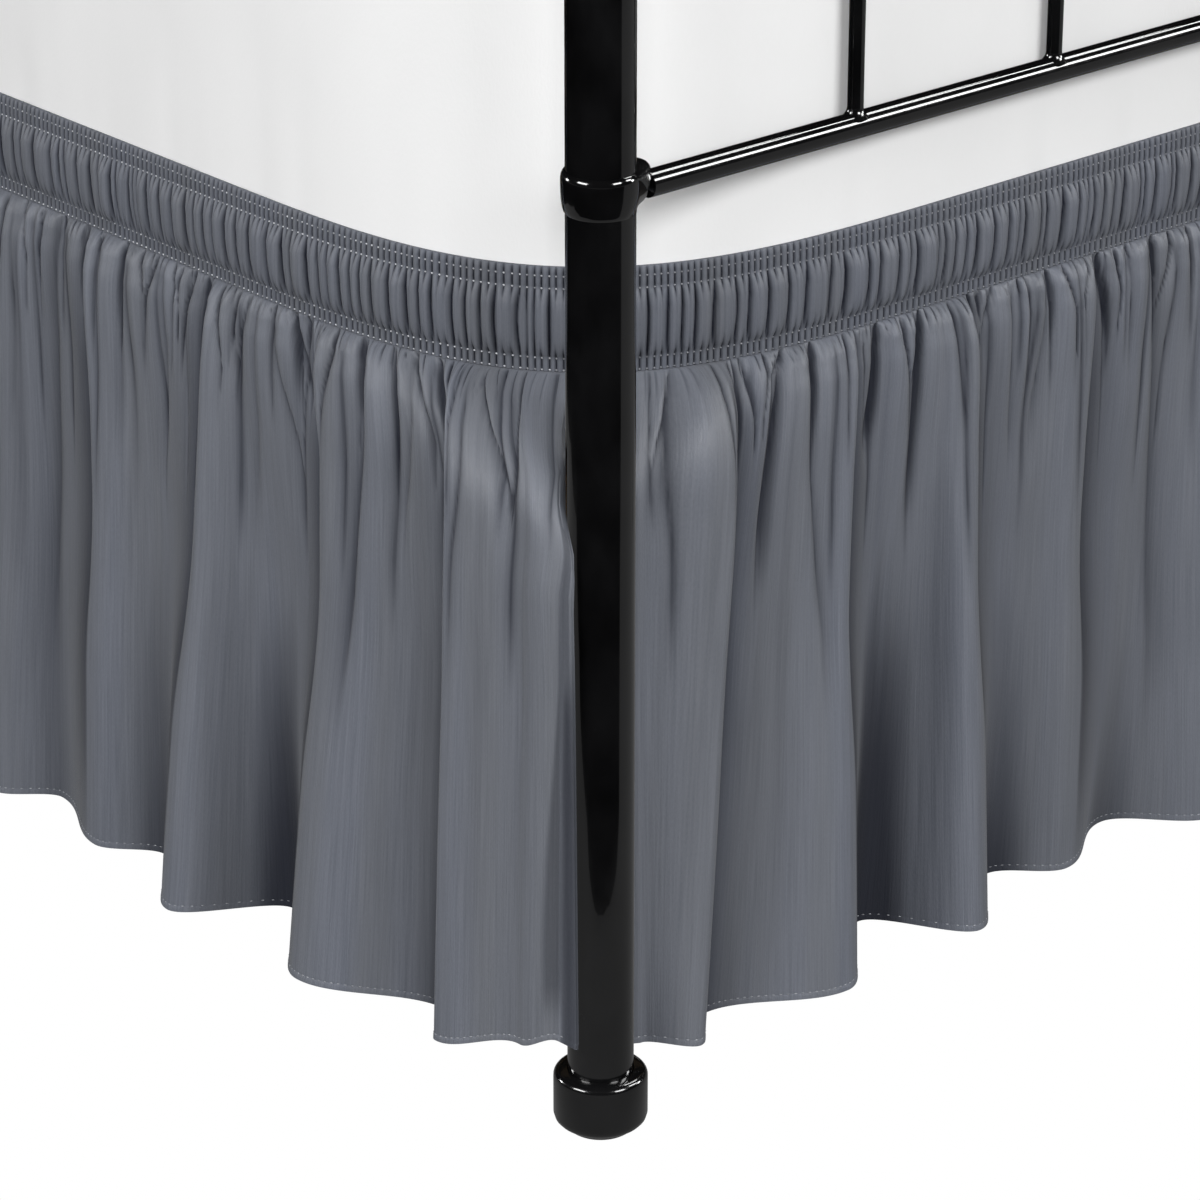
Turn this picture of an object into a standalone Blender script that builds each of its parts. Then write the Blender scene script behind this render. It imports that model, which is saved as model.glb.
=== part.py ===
# Ruffled bed skirt on the twin metal bed it fits.
# Metres, +Z up. The origin is on the floor under the middle of the bed. The foot end faces -Y,
# the left side faces -X. The skirt is an elastic heading that grips the mattress, with four
# gathered ruffle panels below it, split at the corners so that they pass the bed posts.

import math
import random

import bmesh
import bpy

# ---- mattress and skirt -------------------------------------------------------------------
MATTRESS_WIDTH = 0.965
MATTRESS_LENGTH = 1.905
MATTRESS_BASE_Z = 0.340
MATTRESS_TOP_Z = 0.670
MATTRESS_EDGE = 0.024          # rounding of its top and bottom edges
CLOTH_STAND_OFF = 0.0045       # mattress face to the plane the heading puffs lie in

SKIRT_TOP_Z = 0.4595
HEADING_BASE_Z = 0.4035
HEM_Z = 0.0424
CLOTH_THICKNESS = 0.0016
SEAM_GAP = 0.0005              # heading to ruffle

CORNER_SIZE = 0.280            # the corners round off along a superellipse of this reach
CORNER_POWER = 3.5

# ---- bed frame ------------------------------------------------------------------------------
POST_RADIUS = 0.0175
SIDE_PLANE = 0.024             # heading plane lies this far outside the post line on the sides
END_PLANE = -0.003             # and this far inside it at the foot and the head
FOOT_POST_TOP_Z = 0.820
HEAD_POST_TOP_Z = 1.100
RAIL_Z = 0.517                 # lower rail of footboard and headboard
RAIL_RADIUS = 0.007
TOP_RAIL_RADIUS = 0.0095
TOP_RAIL_DROP = 0.040          # top rail below the post's top
SPINDLE_RADIUS = 0.0042
SPINDLE_COUNT = 5
FIRST_SPINDLE = 0.172          # post axis to the first spindle
COLLAR_RADIUS = 0.0198
COLLAR_BASE_Z = 0.5097
COLLAR_HEIGHT = 0.0215
COLLAR_NOSE = 0.0204           # post axis to the middle of the collar's nose
COLLAR_NOSE_RADIUS = 0.0092
COLLAR_EDGE = 0.0014
COLLAR_NOSE_EDGE = 0.0080      # the collar's lower edge rounds off more under its nose
FIT_GAP = 0.0003               # between neighbouring pieces
SOCKET_DEPTH_Z = 0.0080        # floor of the socket in each foot cap

SIDE_RAIL_WIDTH = 0.025
SIDE_RAIL_HEIGHT = 0.040
SIDE_RAIL_INSET = 0.0025       # rail's middle line inside the post line
SLAT_COUNT = 7
SLAT_WIDTH = 0.070
SLAT_THICKNESS = 0.0185
SLAT_SPAN = 0.936
SLAT_END_Y = 0.860

ROUND_SIDES = 24
THIN_SIDES = 12

# ---- derived places -------------------------------------------------------------------------
HALF_X = MATTRESS_WIDTH / 2 + CLOTH_STAND_OFF
HALF_Y = MATTRESS_LENGTH / 2 + CLOTH_STAND_OFF
POST_X = HALF_X - SIDE_PLANE
POST_Y = HALF_Y - END_PLANE
NOSE_INSET = CORNER_SIZE * (1 - 2 ** (-1 / CORNER_POWER))

# Ruffle folds at the hem, from the corner post along the wall. at: distance from the post's axis.
# out: how far the cloth stands outside the heading plane. growth: power with which the fold
# grows from the heading to the hem. lift: how far the hem is hitched up there. slant: how far the
# fold leans along the wall at the seam. tuck: how far it is pulled along just below the seam.
FOLD_COLUMNS = ("at", "out", "growth", "lift", "slant", "tuck")
SIDE_CORNER_FOLDS = (
    (-0.006, -0.003, 1.0, 0.0128, 0.0, 0.0),
    (-0.002, 0.006, 0.5, 0.0200, 0.0, 0.0),
    (0.020, 0.0115, 0.5, 0.0115, 0.0, 0.0),
    (0.069, 0.029, 0.40, 0.0, 0.0, 0.0),
    (0.090, 0.003, 1.2, 0.0, 0.0, 0.0),
    (0.172, 0.042, 1.14, 0.0, 0.004, 0.0),
    (0.238, -0.008, 2.0, 0.0, 0.0, 0.0),
    (0.284, 0.046, 0.93, 0.0, 0.0, 0.0),
    (0.340, 0.006, 1.2, 0.0, 0.0, 0.0),
    (0.377, 0.029, 0.80, 0.0, 0.006, 0.0),
    (0.440, 0.007, 1.2, 0.0, 0.0, 0.0),
    (0.473, 0.032, 0.80, 0.0, 0.0, 0.0),
)
END_CORNER_FOLDS = (
    (0.020, 0.005, 0.6, 0.0, 0.0, 0.0),
    (0.024, 0.0065, 0.6, 0.0, 0.0, 0.026),
    (0.046, 0.028, 0.42, 0.0, 0.037, 0.0),
    (0.072, 0.003, 1.2, 0.0, 0.034, 0.0),
    (0.147, 0.035, 1.04, 0.0, 0.020, 0.0),
    (0.207, -0.019, 2.0, 0.0, 0.006, 0.0),
    (0.251, 0.033, 0.60, 0.0, 0.0, 0.0),
    (0.303, -0.013, 2.0, 0.0, 0.0, 0.0),
    (0.342, 0.012, 0.60, 0.0, 0.004, 0.0),
    (0.400, -0.016, 2.0, 0.0, 0.0, 0.0),
    (0.452, 0.022, 0.70, 0.0, 0.0, 0.0),
)
FAR_CORNER_ROWS = 7            # rows that are mirrored at a panel's far end
COLUMNS_PER_FLANK = 3          # mesh columns from a crest to the next trough
RUFFLE_DEPTHS = (0.0, 0.035, 0.08, 0.18, 0.50, 1.0)
CORNER_REACH = 0.270           # stretch in which the cloth comes out from behind the post
FLARE_OUT_DEPTH = 0.16         # share of the drop by which it is out at its full distance
FLARE_ALONG_DEPTH = 0.165
EDGE_FLARE_EXTRA = 0.091       # a side panel's free edge comes out later, to pass the post
EDGE_FLARE_REACH = 0.008

# Section of the heading: height above its lower edge as a share, and distance from the plane.
HEADING_SECTION = (
    (0.0, -0.0025), (0.13, -0.0026), (0.49, 0.0015), (0.86, -0.0026), (1.0, -0.0025),
)
TUCK_IN = HEADING_SECTION[0][1]

# Each wall runs between two posts: name, origin post, direction of the run, outward direction.
WALLS = {
    "left": ((-POST_X, -POST_Y), (0, 1), (-1, 0)),
    "right": ((POST_X, POST_Y), (0, -1), (1, 0)),
    "foot": ((-POST_X, -POST_Y), (1, 0), (0, -1)),
    "head": ((POST_X, POST_Y), (-1, 0), (0, 1)),
}


# ---- materials ------------------------------------------------------------------------------
def make_material(name, colour, roughness, metallic=0.0):
    material = bpy.data.materials.new(name)
    material.use_nodes = True
    shader = material.node_tree.nodes["Principled BSDF"]
    shader.inputs["Base Color"].default_value = (*colour, 1.0)
    shader.inputs["Roughness"].default_value = roughness
    shader.inputs["Metallic"].default_value = metallic
    return material


def skirt_cloth():
    return make_material("skirt_cloth", (0.125, 0.131, 0.150), 0.55)


def mattress_cover():
    return make_material("mattress_cover", (0.86, 0.86, 0.86), 0.80)


def black_enamel():
    return make_material("black_enamel", (0.006, 0.006, 0.006), 0.18)


def slat_wood():
    return make_material("slat_wood", (0.52, 0.38, 0.23), 0.65)


# ---- mesh helpers ---------------------------------------------------------------------------
def add_object(name, mesh_builder, material, smooth_angle=None):
    mesh = bpy.data.meshes.new(name)
    mesh_builder.to_mesh(mesh)
    mesh_builder.free()
    mesh.materials.append(material)
    if smooth_angle is not None:
        mesh.shade_smooth()
        mesh.set_sharp_from_angle(angle=math.radians(smooth_angle))
    item = bpy.data.objects.new(name, mesh)
    bpy.context.scene.collection.objects.link(item)
    return item


def link_rings(builder, rings, closed_rings=True):
    """Faces between neighbouring rings of equally many vertices."""
    for lower, upper in zip(rings, rings[1:]):
        count = len(lower)
        last = count if closed_rings else count - 1
        for i in range(last):
            j = (i + 1) % count
            builder.faces.new((lower[i], lower[j], upper[j], upper[i]))


def turned(name, profile, centre, material, sides=ROUND_SIDES):
    """A solid turned about Z. The profile is (radius, z) pairs; a radius of 0 closes it."""
    builder = bmesh.new()
    rings = []
    for radius, z in profile:
        if radius == 0:
            rings.append([builder.verts.new((centre[0], centre[1], z))])
            continue
        ring = []
        for i in range(sides):
            angle = 2 * math.pi * i / sides
            x = centre[0] + radius * math.cos(angle)
            y = centre[1] + radius * math.sin(angle)
            ring.append(builder.verts.new((x, y, z)))
        rings.append(ring)
    for lower, upper in zip(rings, rings[1:]):
        for i in range(sides):
            j = (i + 1) % sides
            if len(lower) == 1:
                builder.faces.new((lower[0], upper[j], upper[i]))
            elif len(upper) == 1:
                builder.faces.new((lower[i], lower[j], upper[0]))
            else:
                builder.faces.new((lower[i], lower[j], upper[j], upper[i]))
    return add_object(name, builder, material, 35)


def round_bar(name, start, length, radius, along_x, material):
    """A plain bar with flat ends, along X or standing along Z."""
    builder = bmesh.new()
    rings = []
    for end in (0.0, length):
        ring = []
        for i in range(THIN_SIDES):
            angle = 2 * math.pi * i / THIN_SIDES
            a = radius * math.cos(angle)
            b = radius * math.sin(angle)
            offset = (end, a, b) if along_x else (a, b, end)
            ring.append(builder.verts.new([s + o for s, o in zip(start, offset)]))
        rings.append(ring)
    link_rings(builder, rings)
    builder.faces.new(reversed(rings[0]))
    builder.faces.new(rings[1])
    return add_object(name, builder, material, 35)


def block(name, low, high, material):
    builder = bmesh.new()
    bmesh.ops.create_cube(builder, size=1.0)
    for vert in builder.verts:
        for axis in range(3):
            vert.co[axis] = low[axis] if vert.co[axis] < 0 else high[axis]
    return add_object(name, builder, material)


# ---- plan of the mattress and the skirt -----------------------------------------------------
def corner_inset(distance):
    """How far the outline has left one wall plane, at this distance from the other one."""
    if distance >= CORNER_SIZE:
        return 0.0
    share = (CORNER_SIZE - distance) / CORNER_SIZE
    return CORNER_SIZE * (1 - (1 - share ** CORNER_POWER) ** (1 / CORNER_POWER))


def outline(offset, corner_steps=10, middle_steps=2):
    """The rounded rectangle of the bed in plan, moved outwards by offset."""
    half_x = HALF_X + offset
    half_y = HALF_Y + offset
    size = CORNER_SIZE + offset
    quarter = []
    for i in range(corner_steps + 1):
        angle = math.pi / 2 * i / corner_steps
        x = half_x - size + size * math.cos(angle) ** (2 / CORNER_POWER)
        y = half_y - size + size * max(math.sin(angle), 0.0) ** (2 / CORNER_POWER)
        quarter.append((x, y))
    corners = (
        quarter,
        [(-x, y) for x, y in reversed(quarter)],
        [(-x, -y) for x, y in quarter],
        [(x, -y) for x, y in reversed(quarter)],
    )
    points = []
    for number, corner in enumerate(corners):
        points += corner
        start = corner[-1]
        end = corners[(number + 1) % 4][0]
        for step in range(1, middle_steps):
            share = step / middle_steps
            points.append((start[0] + (end[0] - start[0]) * share,
                           start[1] + (end[1] - start[1]) * share))
    return points


def build_mattress(material):
    builder = bmesh.new()
    section = (
        (MATTRESS_BASE_Z, MATTRESS_EDGE),
        (MATTRESS_BASE_Z + 0.3 * MATTRESS_EDGE, 0.3 * MATTRESS_EDGE),
        (MATTRESS_BASE_Z + MATTRESS_EDGE, 0.0),
        (MATTRESS_TOP_Z - MATTRESS_EDGE, 0.0),
        (MATTRESS_TOP_Z - 0.3 * MATTRESS_EDGE, 0.3 * MATTRESS_EDGE),
        (MATTRESS_TOP_Z, MATTRESS_EDGE),
    )
    rings = []
    for z, inset in section:
        plan = outline(-CLOTH_STAND_OFF - inset)
        rings.append([builder.verts.new((x, y, z)) for x, y in plan])
    link_rings(builder, rings)
    builder.faces.new(reversed(rings[0]))
    builder.faces.new(rings[-1])
    return add_object("mattress", builder, material, 40)


# ---- skirt ----------------------------------------------------------------------------------
def thicken(item):
    """Give the open cloth surface its thickness, inwards from its outer face."""
    solid = item.modifiers.new("thickness", "SOLIDIFY")
    solid.thickness = CLOTH_THICKNESS
    solid.offset = -1.0
    return item


def build_heading(material):
    builder = bmesh.new()
    rings = []
    for share, offset in HEADING_SECTION:
        z = HEADING_BASE_Z + share * (SKIRT_TOP_Z - HEADING_BASE_Z)
        rings.append([builder.verts.new((x, y, z)) for x, y in outline(offset)])
    link_rings(builder, rings)
    return thicken(add_object("heading", builder, material, 50))


def fold_rows(corner_folds, length, seed):
    """Folds from one post to the next: the corner's own, then uneven ones of the same scale."""
    rows = [dict(zip(FOLD_COLUMNS, row)) for row in corner_folds]
    far = [dict(row, at=length - row["at"], slant=-row["slant"], tuck=-row["tuck"])
           for row in rows[:FAR_CORNER_ROWS]]
    far.reverse()
    tallest = max(row["out"] for row in rows)
    draw = random.Random(seed)
    limit = far[0]["at"] - 0.075
    level = dict(lift=0.0, slant=0.0, tuck=0.0)
    while rows[-1]["at"] + 0.11 < limit:
        trough = rows[-1]["at"] + draw.uniform(0.040, 0.060)
        crest = trough + draw.uniform(0.038, 0.058)
        rows.append(dict(at=trough, out=draw.uniform(-0.014, 0.006), growth=1.8, **level))
        rows.append(dict(at=crest, out=draw.uniform(0.019, 0.95 * tallest),
                         growth=draw.uniform(0.6, 1.1), **level))
    middle = (rows[-1]["at"] + far[0]["at"]) / 2
    rows.append(dict(at=middle, out=-0.006, growth=1.8, **level))
    return rows + far


def fold_at(rows, at):
    """Values of the fold table at a distance along the wall, eased between neighbouring rows."""
    for low, high in zip(rows, rows[1:]):
        if at <= high["at"]:
            share = (at - low["at"]) / (high["at"] - low["at"])
            ease = (1 - math.cos(math.pi * min(max(share, 0.0), 1.0))) / 2
            return {key: low[key] + (high[key] - low[key]) * ease for key in FOLD_COLUMNS}
    return rows[-1]


def corner_pull(at, edge, length):
    """1 at a panel's near free edge and -1 at its far one, 0 outside the corners' reach."""
    near = 1 - (at - edge) / CORNER_REACH
    far = 1 - (length - edge - at) / CORNER_REACH
    return max(near, 0.0) ** 2 - max(far, 0.0) ** 2


def ruffle_point(wall, rows, length, other_plane, at, depth):
    """A point of the ruffle's outer face: at is the place along the hem, depth 0 to 1 downwards."""
    edge = rows[0]["at"]
    nose = NOSE_INSET - other_plane + 0.0015
    fold = fold_at(rows, at)
    top_at = at + corner_pull(at, edge, length) * (nose - edge) + fold["tuck"]
    seam_at = top_at + fold["slant"]
    from_corner = min(seam_at, length - seam_at) + other_plane
    top_out = TUCK_IN - corner_inset(from_corner)
    stay_out = (1 - min(depth / FLARE_OUT_DEPTH, 1.0)) ** 2
    along_depth = FLARE_ALONG_DEPTH
    if wall in ("left", "right"):
        from_edge = min(at, length - at) - edge
        along_depth += EDGE_FLARE_EXTRA * math.exp(-from_edge / EDGE_FLARE_REACH)
    stay_along = (1 - min(depth / along_depth, 1.0)) ** 2
    out = top_out * stay_out + fold["out"] * depth ** fold["growth"]
    along = at + (top_at - at) * stay_along + fold["slant"] * (1 - depth)
    (x, y), (run_x, run_y), (out_x, out_y) = WALLS[wall]
    plane = SIDE_PLANE if wall in ("left", "right") else END_PLANE
    z_top = HEADING_BASE_Z - SEAM_GAP
    z = z_top + (HEM_Z + fold["lift"] - z_top) * depth
    out += plane
    return (x + run_x * along + out_x * out, y + run_y * along + out_y * out, z)


def build_ruffle(wall, corner_folds, length, other_plane, seed, material):
    rows = fold_rows(corner_folds, length, seed)
    places = []
    for low, high in zip(rows, rows[1:]):
        step = (high["at"] - low["at"]) / COLUMNS_PER_FLANK
        places += [low["at"] + step * i for i in range(COLUMNS_PER_FLANK)]
    places.append(rows[-1]["at"])
    builder = bmesh.new()
    bands = []
    for depth in RUFFLE_DEPTHS:
        bands.append([builder.verts.new(ruffle_point(wall, rows, length, other_plane, at, depth))
                      for at in places])
    link_rings(builder, bands, closed_rings=False)
    if wall in ("foot", "head"):       # these walls run the other way round their outward side
        bmesh.ops.reverse_faces(builder, faces=builder.faces[:])
    item = add_object("ruffle_" + wall, builder, material, 60)
    return thicken(item)


def build_skirt(material):
    build_heading(material)
    side_length = 2 * POST_Y
    end_length = 2 * POST_X
    build_ruffle("left", SIDE_CORNER_FOLDS, side_length, END_PLANE, 11, material)
    build_ruffle("right", SIDE_CORNER_FOLDS, side_length, END_PLANE, 23, material)
    build_ruffle("foot", END_CORNER_FOLDS, end_length, SIDE_PLANE, 37, material)
    build_ruffle("head", END_CORNER_FOLDS, end_length, SIDE_PLANE, 41, material)


# ---- bed frame ------------------------------------------------------------------------------
def build_post(name, x, y, top, material):
    r = POST_RADIUS
    profile = (
        (0, SOCKET_DEPTH_Z + FIT_GAP), (r, SOCKET_DEPTH_Z + FIT_GAP),
        (r, top - 0.008), (0.86 * r, top - 0.003), (0.55 * r, top), (0, top),
    )
    return turned(name, profile, (x, y), material)


def build_cap(name, x, y, material):
    bore = POST_RADIUS + FIT_GAP
    profile = (
        (0, 0.0), (0.0177, 0.0), (0.0184, 0.0016), (0.0240, 0.0062), (0.0250, 0.0086),
        (0.0250, 0.0300), (0.0236, 0.0332), (0.0196, 0.0348), (bore, 0.0348),
        (bore, SOCKET_DEPTH_Z), (0, SOCKET_DEPTH_Z),
    )
    return turned(name, profile, (x, y), material)


def collar_radius(angle):
    """Distance from the post's axis to the collar's side: a ring drawn out into a round nose."""
    angle = abs((angle + math.pi) % (2 * math.pi) - math.pi)
    touch = math.acos((COLLAR_RADIUS - COLLAR_NOSE_RADIUS) / COLLAR_NOSE)
    nose_angle = math.atan2(COLLAR_NOSE_RADIUS * math.sin(touch),
                            COLLAR_NOSE + COLLAR_NOSE_RADIUS * math.cos(touch))
    if angle >= touch:
        return COLLAR_RADIUS
    if angle >= nose_angle:
        return COLLAR_RADIUS / math.cos(angle - touch)
    return (COLLAR_NOSE * math.cos(angle)
            + math.sqrt(COLLAR_NOSE_RADIUS ** 2 - (COLLAR_NOSE * math.sin(angle)) ** 2))


def lower_edge(angle):
    """Rounding of the collar's lower edge: small round the post, larger under the nose."""
    under = max(math.cos(angle), 0.0) ** 1.5
    return COLLAR_EDGE + (COLLAR_NOSE_EDGE - COLLAR_EDGE) * under


def build_collar(name, x, y, facing, material):
    """A cast sleeve round the post; its nose holds the lower rail and faces +X or -X."""
    step = 360 / ROUND_SIDES       # the bore's corners face the post's own, so its gap is even
    half = [0, step / 2] + [step * i for i in range(1, ROUND_SIDES // 2)]
    angles = [math.radians(a) for a in half + [180] + [-a for a in reversed(half[1:])]]
    bore = POST_RADIUS + FIT_GAP
    top_z = COLLAR_BASE_Z + COLLAR_HEIGHT
    builder = bmesh.new()

    def ring_of(place):
        ring = []
        for angle in angles:
            radius, z = place(angle)
            radius = max(radius, bore)
            ring.append(builder.verts.new((x + facing * radius * math.cos(angle),
                                           y + radius * math.sin(angle), z)))
        return ring

    rings = [
        ring_of(lambda angle: (max(collar_radius(angle) - lower_edge(angle), bore + COLLAR_EDGE / 2),
                               COLLAR_BASE_Z)),
        ring_of(lambda angle: (collar_radius(angle) - 0.3 * lower_edge(angle),
                               COLLAR_BASE_Z + 0.3 * lower_edge(angle))),
        ring_of(lambda angle: (collar_radius(angle), COLLAR_BASE_Z + lower_edge(angle))),
        ring_of(lambda angle: (collar_radius(angle), top_z - COLLAR_EDGE)),
        ring_of(lambda angle: (collar_radius(angle) - COLLAR_EDGE, top_z)),
        ring_of(lambda angle: (bore, top_z)),
        ring_of(lambda angle: (bore, COLLAR_BASE_Z)),
    ]
    rings.append(rings[0])
    link_rings(builder, rings)
    if facing < 0:
        bmesh.ops.reverse_faces(builder, faces=builder.faces[:])
    return add_object(name, builder, material, 35)


def build_board(end, y, top, material):
    """Footboard or headboard between its two posts: two rails and the spindles."""
    nose_tip = COLLAR_NOSE + COLLAR_NOSE_RADIUS + FIT_GAP
    start = -POST_X + nose_tip
    round_bar(end + "_rail_low", (start, y, RAIL_Z), -2 * start, RAIL_RADIUS, True, material)
    start = -POST_X + POST_RADIUS + FIT_GAP
    top_z = top - TOP_RAIL_DROP
    round_bar(end + "_rail_top", (start, y, top_z), -2 * start, TOP_RAIL_RADIUS, True, material)
    foot_z = RAIL_Z + RAIL_RADIUS + FIT_GAP
    height = top_z - TOP_RAIL_RADIUS - FIT_GAP - foot_z
    first = -POST_X + FIRST_SPINDLE
    for i in range(SPINDLE_COUNT):
        x = first + (-2 * first) * i / (SPINDLE_COUNT - 1)
        name = f"{end}_spindle_{i + 1}"
        round_bar(name, (x, y, foot_z), height, SPINDLE_RADIUS, False, material)


def build_frame(material, wood):
    for end, y, top in (("foot", -POST_Y, FOOT_POST_TOP_Z), ("head", POST_Y, HEAD_POST_TOP_Z)):
        for side, x, facing in (("left", -POST_X, 1), ("right", POST_X, -1)):
            build_post(f"post_{end}_{side}", x, y, top, material)
            build_cap(f"cap_{end}_{side}", x, y, material)
            build_collar(f"collar_{end}_{side}", x, y, facing, material)
        build_board(end, y, top, material)
    slat_top = MATTRESS_BASE_Z - FIT_GAP
    rail_top = slat_top - SLAT_THICKNESS - FIT_GAP
    rail_end = POST_Y - POST_RADIUS - FIT_GAP
    middle = POST_X - SIDE_RAIL_INSET
    for side, sign in (("left", -1), ("right", 1)):
        xs = sorted((sign * (middle - SIDE_RAIL_WIDTH / 2), sign * (middle + SIDE_RAIL_WIDTH / 2)))
        block("side_rail_" + side, (xs[0], -rail_end, rail_top - SIDE_RAIL_HEIGHT),
              (xs[1], rail_end, rail_top), material)
    for i in range(SLAT_COUNT):
        y = -SLAT_END_Y + 2 * SLAT_END_Y * i / (SLAT_COUNT - 1)
        block(f"slat_{i + 1}", (-SLAT_SPAN / 2, y - SLAT_WIDTH / 2, slat_top - SLAT_THICKNESS),
              (SLAT_SPAN / 2, y + SLAT_WIDTH / 2, slat_top), wood)


def main():
    for item in list(bpy.data.objects):
        bpy.data.objects.remove(item)
    build_frame(black_enamel(), slat_wood())
    build_mattress(mattress_cover())
    build_skirt(skirt_cloth())


main()
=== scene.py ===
import math
import random
from collections import namedtuple

import bmesh
import bpy
import numpy as np
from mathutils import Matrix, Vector


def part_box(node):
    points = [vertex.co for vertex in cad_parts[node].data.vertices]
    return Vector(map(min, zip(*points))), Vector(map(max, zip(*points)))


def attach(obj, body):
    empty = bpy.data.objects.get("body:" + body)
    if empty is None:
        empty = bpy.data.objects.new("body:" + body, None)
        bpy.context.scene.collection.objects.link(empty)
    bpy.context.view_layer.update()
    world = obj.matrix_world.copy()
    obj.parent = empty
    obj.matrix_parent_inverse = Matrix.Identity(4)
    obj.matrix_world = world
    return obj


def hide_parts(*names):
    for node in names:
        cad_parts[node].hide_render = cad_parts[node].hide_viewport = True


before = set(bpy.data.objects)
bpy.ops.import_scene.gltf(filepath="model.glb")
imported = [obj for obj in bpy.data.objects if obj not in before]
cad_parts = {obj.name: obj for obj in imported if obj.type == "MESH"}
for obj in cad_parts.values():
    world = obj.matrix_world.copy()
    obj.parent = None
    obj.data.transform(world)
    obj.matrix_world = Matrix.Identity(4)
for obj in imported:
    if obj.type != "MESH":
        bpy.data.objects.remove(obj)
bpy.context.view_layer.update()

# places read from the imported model
postLow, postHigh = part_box("post_foot_left")
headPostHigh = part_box("post_head_left")[1]
postX = -(postLow[0] + postHigh[0]) / 2
postY = -(postLow[1] + postHigh[1]) / 2
mattressLow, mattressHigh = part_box("mattress")
headingLow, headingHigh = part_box("heading")
collarLow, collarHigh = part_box("collar_foot_left")

plan = {
    "standOff": 0.0045,        # mattress face to the plane of the heading
    "cornerSize": 0.28,        # reach of the rounded corners
    "cornerPower": 3.5,        # superellipse power of those corners
}
sidePlane = mattressHigh[0] + plan["standOff"] - postX     # heading's plane outside the post line
endPlane = mattressHigh[1] + plan["standOff"] - postY      # the same at the foot and the head
noseInset = plan["cornerSize"] * (1 - 2 ** (-1 / plan["cornerPower"]))

# start: the crossing of the post lines that a wall starts from; length: from post to post;
# plane, otherPlane: the heading's plane on the wall and on the walls beside it
Wall = namedtuple("Wall", "start run outward length plane otherPlane")
walls = {
    "Left": Wall((-postX, -postY), (0, 1), (-1, 0), 2 * postY, sidePlane, endPlane),
    "Right": Wall((postX, postY), (0, -1), (1, 0), 2 * postY, sidePlane, endPlane),
    "Foot": Wall((-postX, -postY), (1, 0), (0, -1), 2 * postX, endPlane, sidePlane),
    "Head": Wall((postX, postY), (-1, 0), (0, 1), 2 * postX, endPlane, sidePlane),
}
sideWalls = ("Left", "Right")


# small maths shared by the cloth pieces
def smooth(value, low, high):
    share = np.clip((value - low) / (high - low), 0, 1)
    return share * share * (3 - 2 * share)


def tableAt(value, table):
    return np.interp(value, [row[0] for row in table], [row[1] for row in table])


def unit(vectors):
    return vectors / np.linalg.norm(vectors, axis=-1)[..., None]


def cornerInset(distance):
    # how far the plan has left one wall's plane at a distance from the other one
    size, power = plan["cornerSize"], plan["cornerPower"]
    share = np.clip((size - distance) / size, 0, 1)
    return size * (1 - (1 - share ** power) ** (1 / power))


def onWall(wall, along, out):
    # x and y of places along a wall and out from its post line
    start, run, outward = walls[wall][:3]
    return [start[i] + run[i] * along + outward[i] * out for i in (0, 1)]


def wallPath(wall, spacing=0.001):
    # plan of one wall from corner nose to corner nose
    data = walls[wall]
    full = data.length + 2 * data.otherPlane
    along = np.arange(noseInset, full - noseInset + spacing / 2, spacing)
    along = np.append(along[:-1], full - noseInset)
    out = data.plane - cornerInset(np.minimum(along, full - along))
    return np.stack(onWall(wall, along - data.otherPlane, out), axis=1)


def drawn(draw, things, low, high):
    return np.array([draw.uniform(low, high) for thing in things])


def unevenEdges(start, end, low, high, seed):
    # edges of neighbouring strips whose widths are drawn between low and high
    draw = random.Random(seed)
    edges = [start]
    while edges[-1] < end:
        edges.append(edges[-1] + draw.uniform(low, high))
    return np.array(edges)


# shader helpers
def feed(tree, node, inputs):
    # each input is linked if it is given a socket, and set if it is given a value
    for key, value in inputs.items():
        socket = node.inputs[key]
        if isinstance(value, bpy.types.NodeSocket):
            tree.links.new(value, socket)
        else:
            socket.default_value = (*value, 1.0) if socket.type == "RGBA" else value


def addNode(tree, kind, inputs=None, **settings):
    node = tree.nodes.new("ShaderNode" + kind)
    for key, value in settings.items():
        setattr(node, key, value)
    feed(tree, node, inputs or {})
    return node


def addMath(tree, operation, first, second):
    return addNode(tree, "Math", {0: first, 1: second}, operation=operation).outputs[0]


def newGroup(name, inputs, output):
    group = bpy.data.node_groups.new(name, "ShaderNodeTree")
    for label, kind, value in inputs:
        socket = group.interface.new_socket(label, in_out="INPUT", socket_type="NodeSocket" + kind)
        if value is not None:
            socket.default_value = value
    group.interface.new_socket(output, in_out="OUTPUT", socket_type="NodeSocketFloat")
    return group, group.nodes.new("NodeGroupInput").outputs, group.nodes.new("NodeGroupOutput")


def stretchedNoiseGroup():
    # streaks, slubs or mottling: noise on a place that is scaled on its own in each direction
    group, given, out = newGroup("stretchedNoise", (
        ("Place", "Vector", None), ("Scale", "Vector", (100.0, 100.0, 100.0)), ("Detail", "Float", 3.0),
    ), "Mask")
    scaled = addNode(group, "VectorMath", {0: given["Place"], 1: given["Scale"]}, operation="MULTIPLY")
    noise = addNode(group, "TexNoise", {"Vector": scaled.outputs[0], "Detail": given["Detail"],
                                        "Scale": 1.0, "Roughness": 0.55})
    spread = addNode(group, "MapRange", {"Value": noise.outputs["Fac"], "From Min": 0.35, "From Max": 0.65})
    feed(group, out, {"Mask": spread.outputs[0]})
    return group


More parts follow.
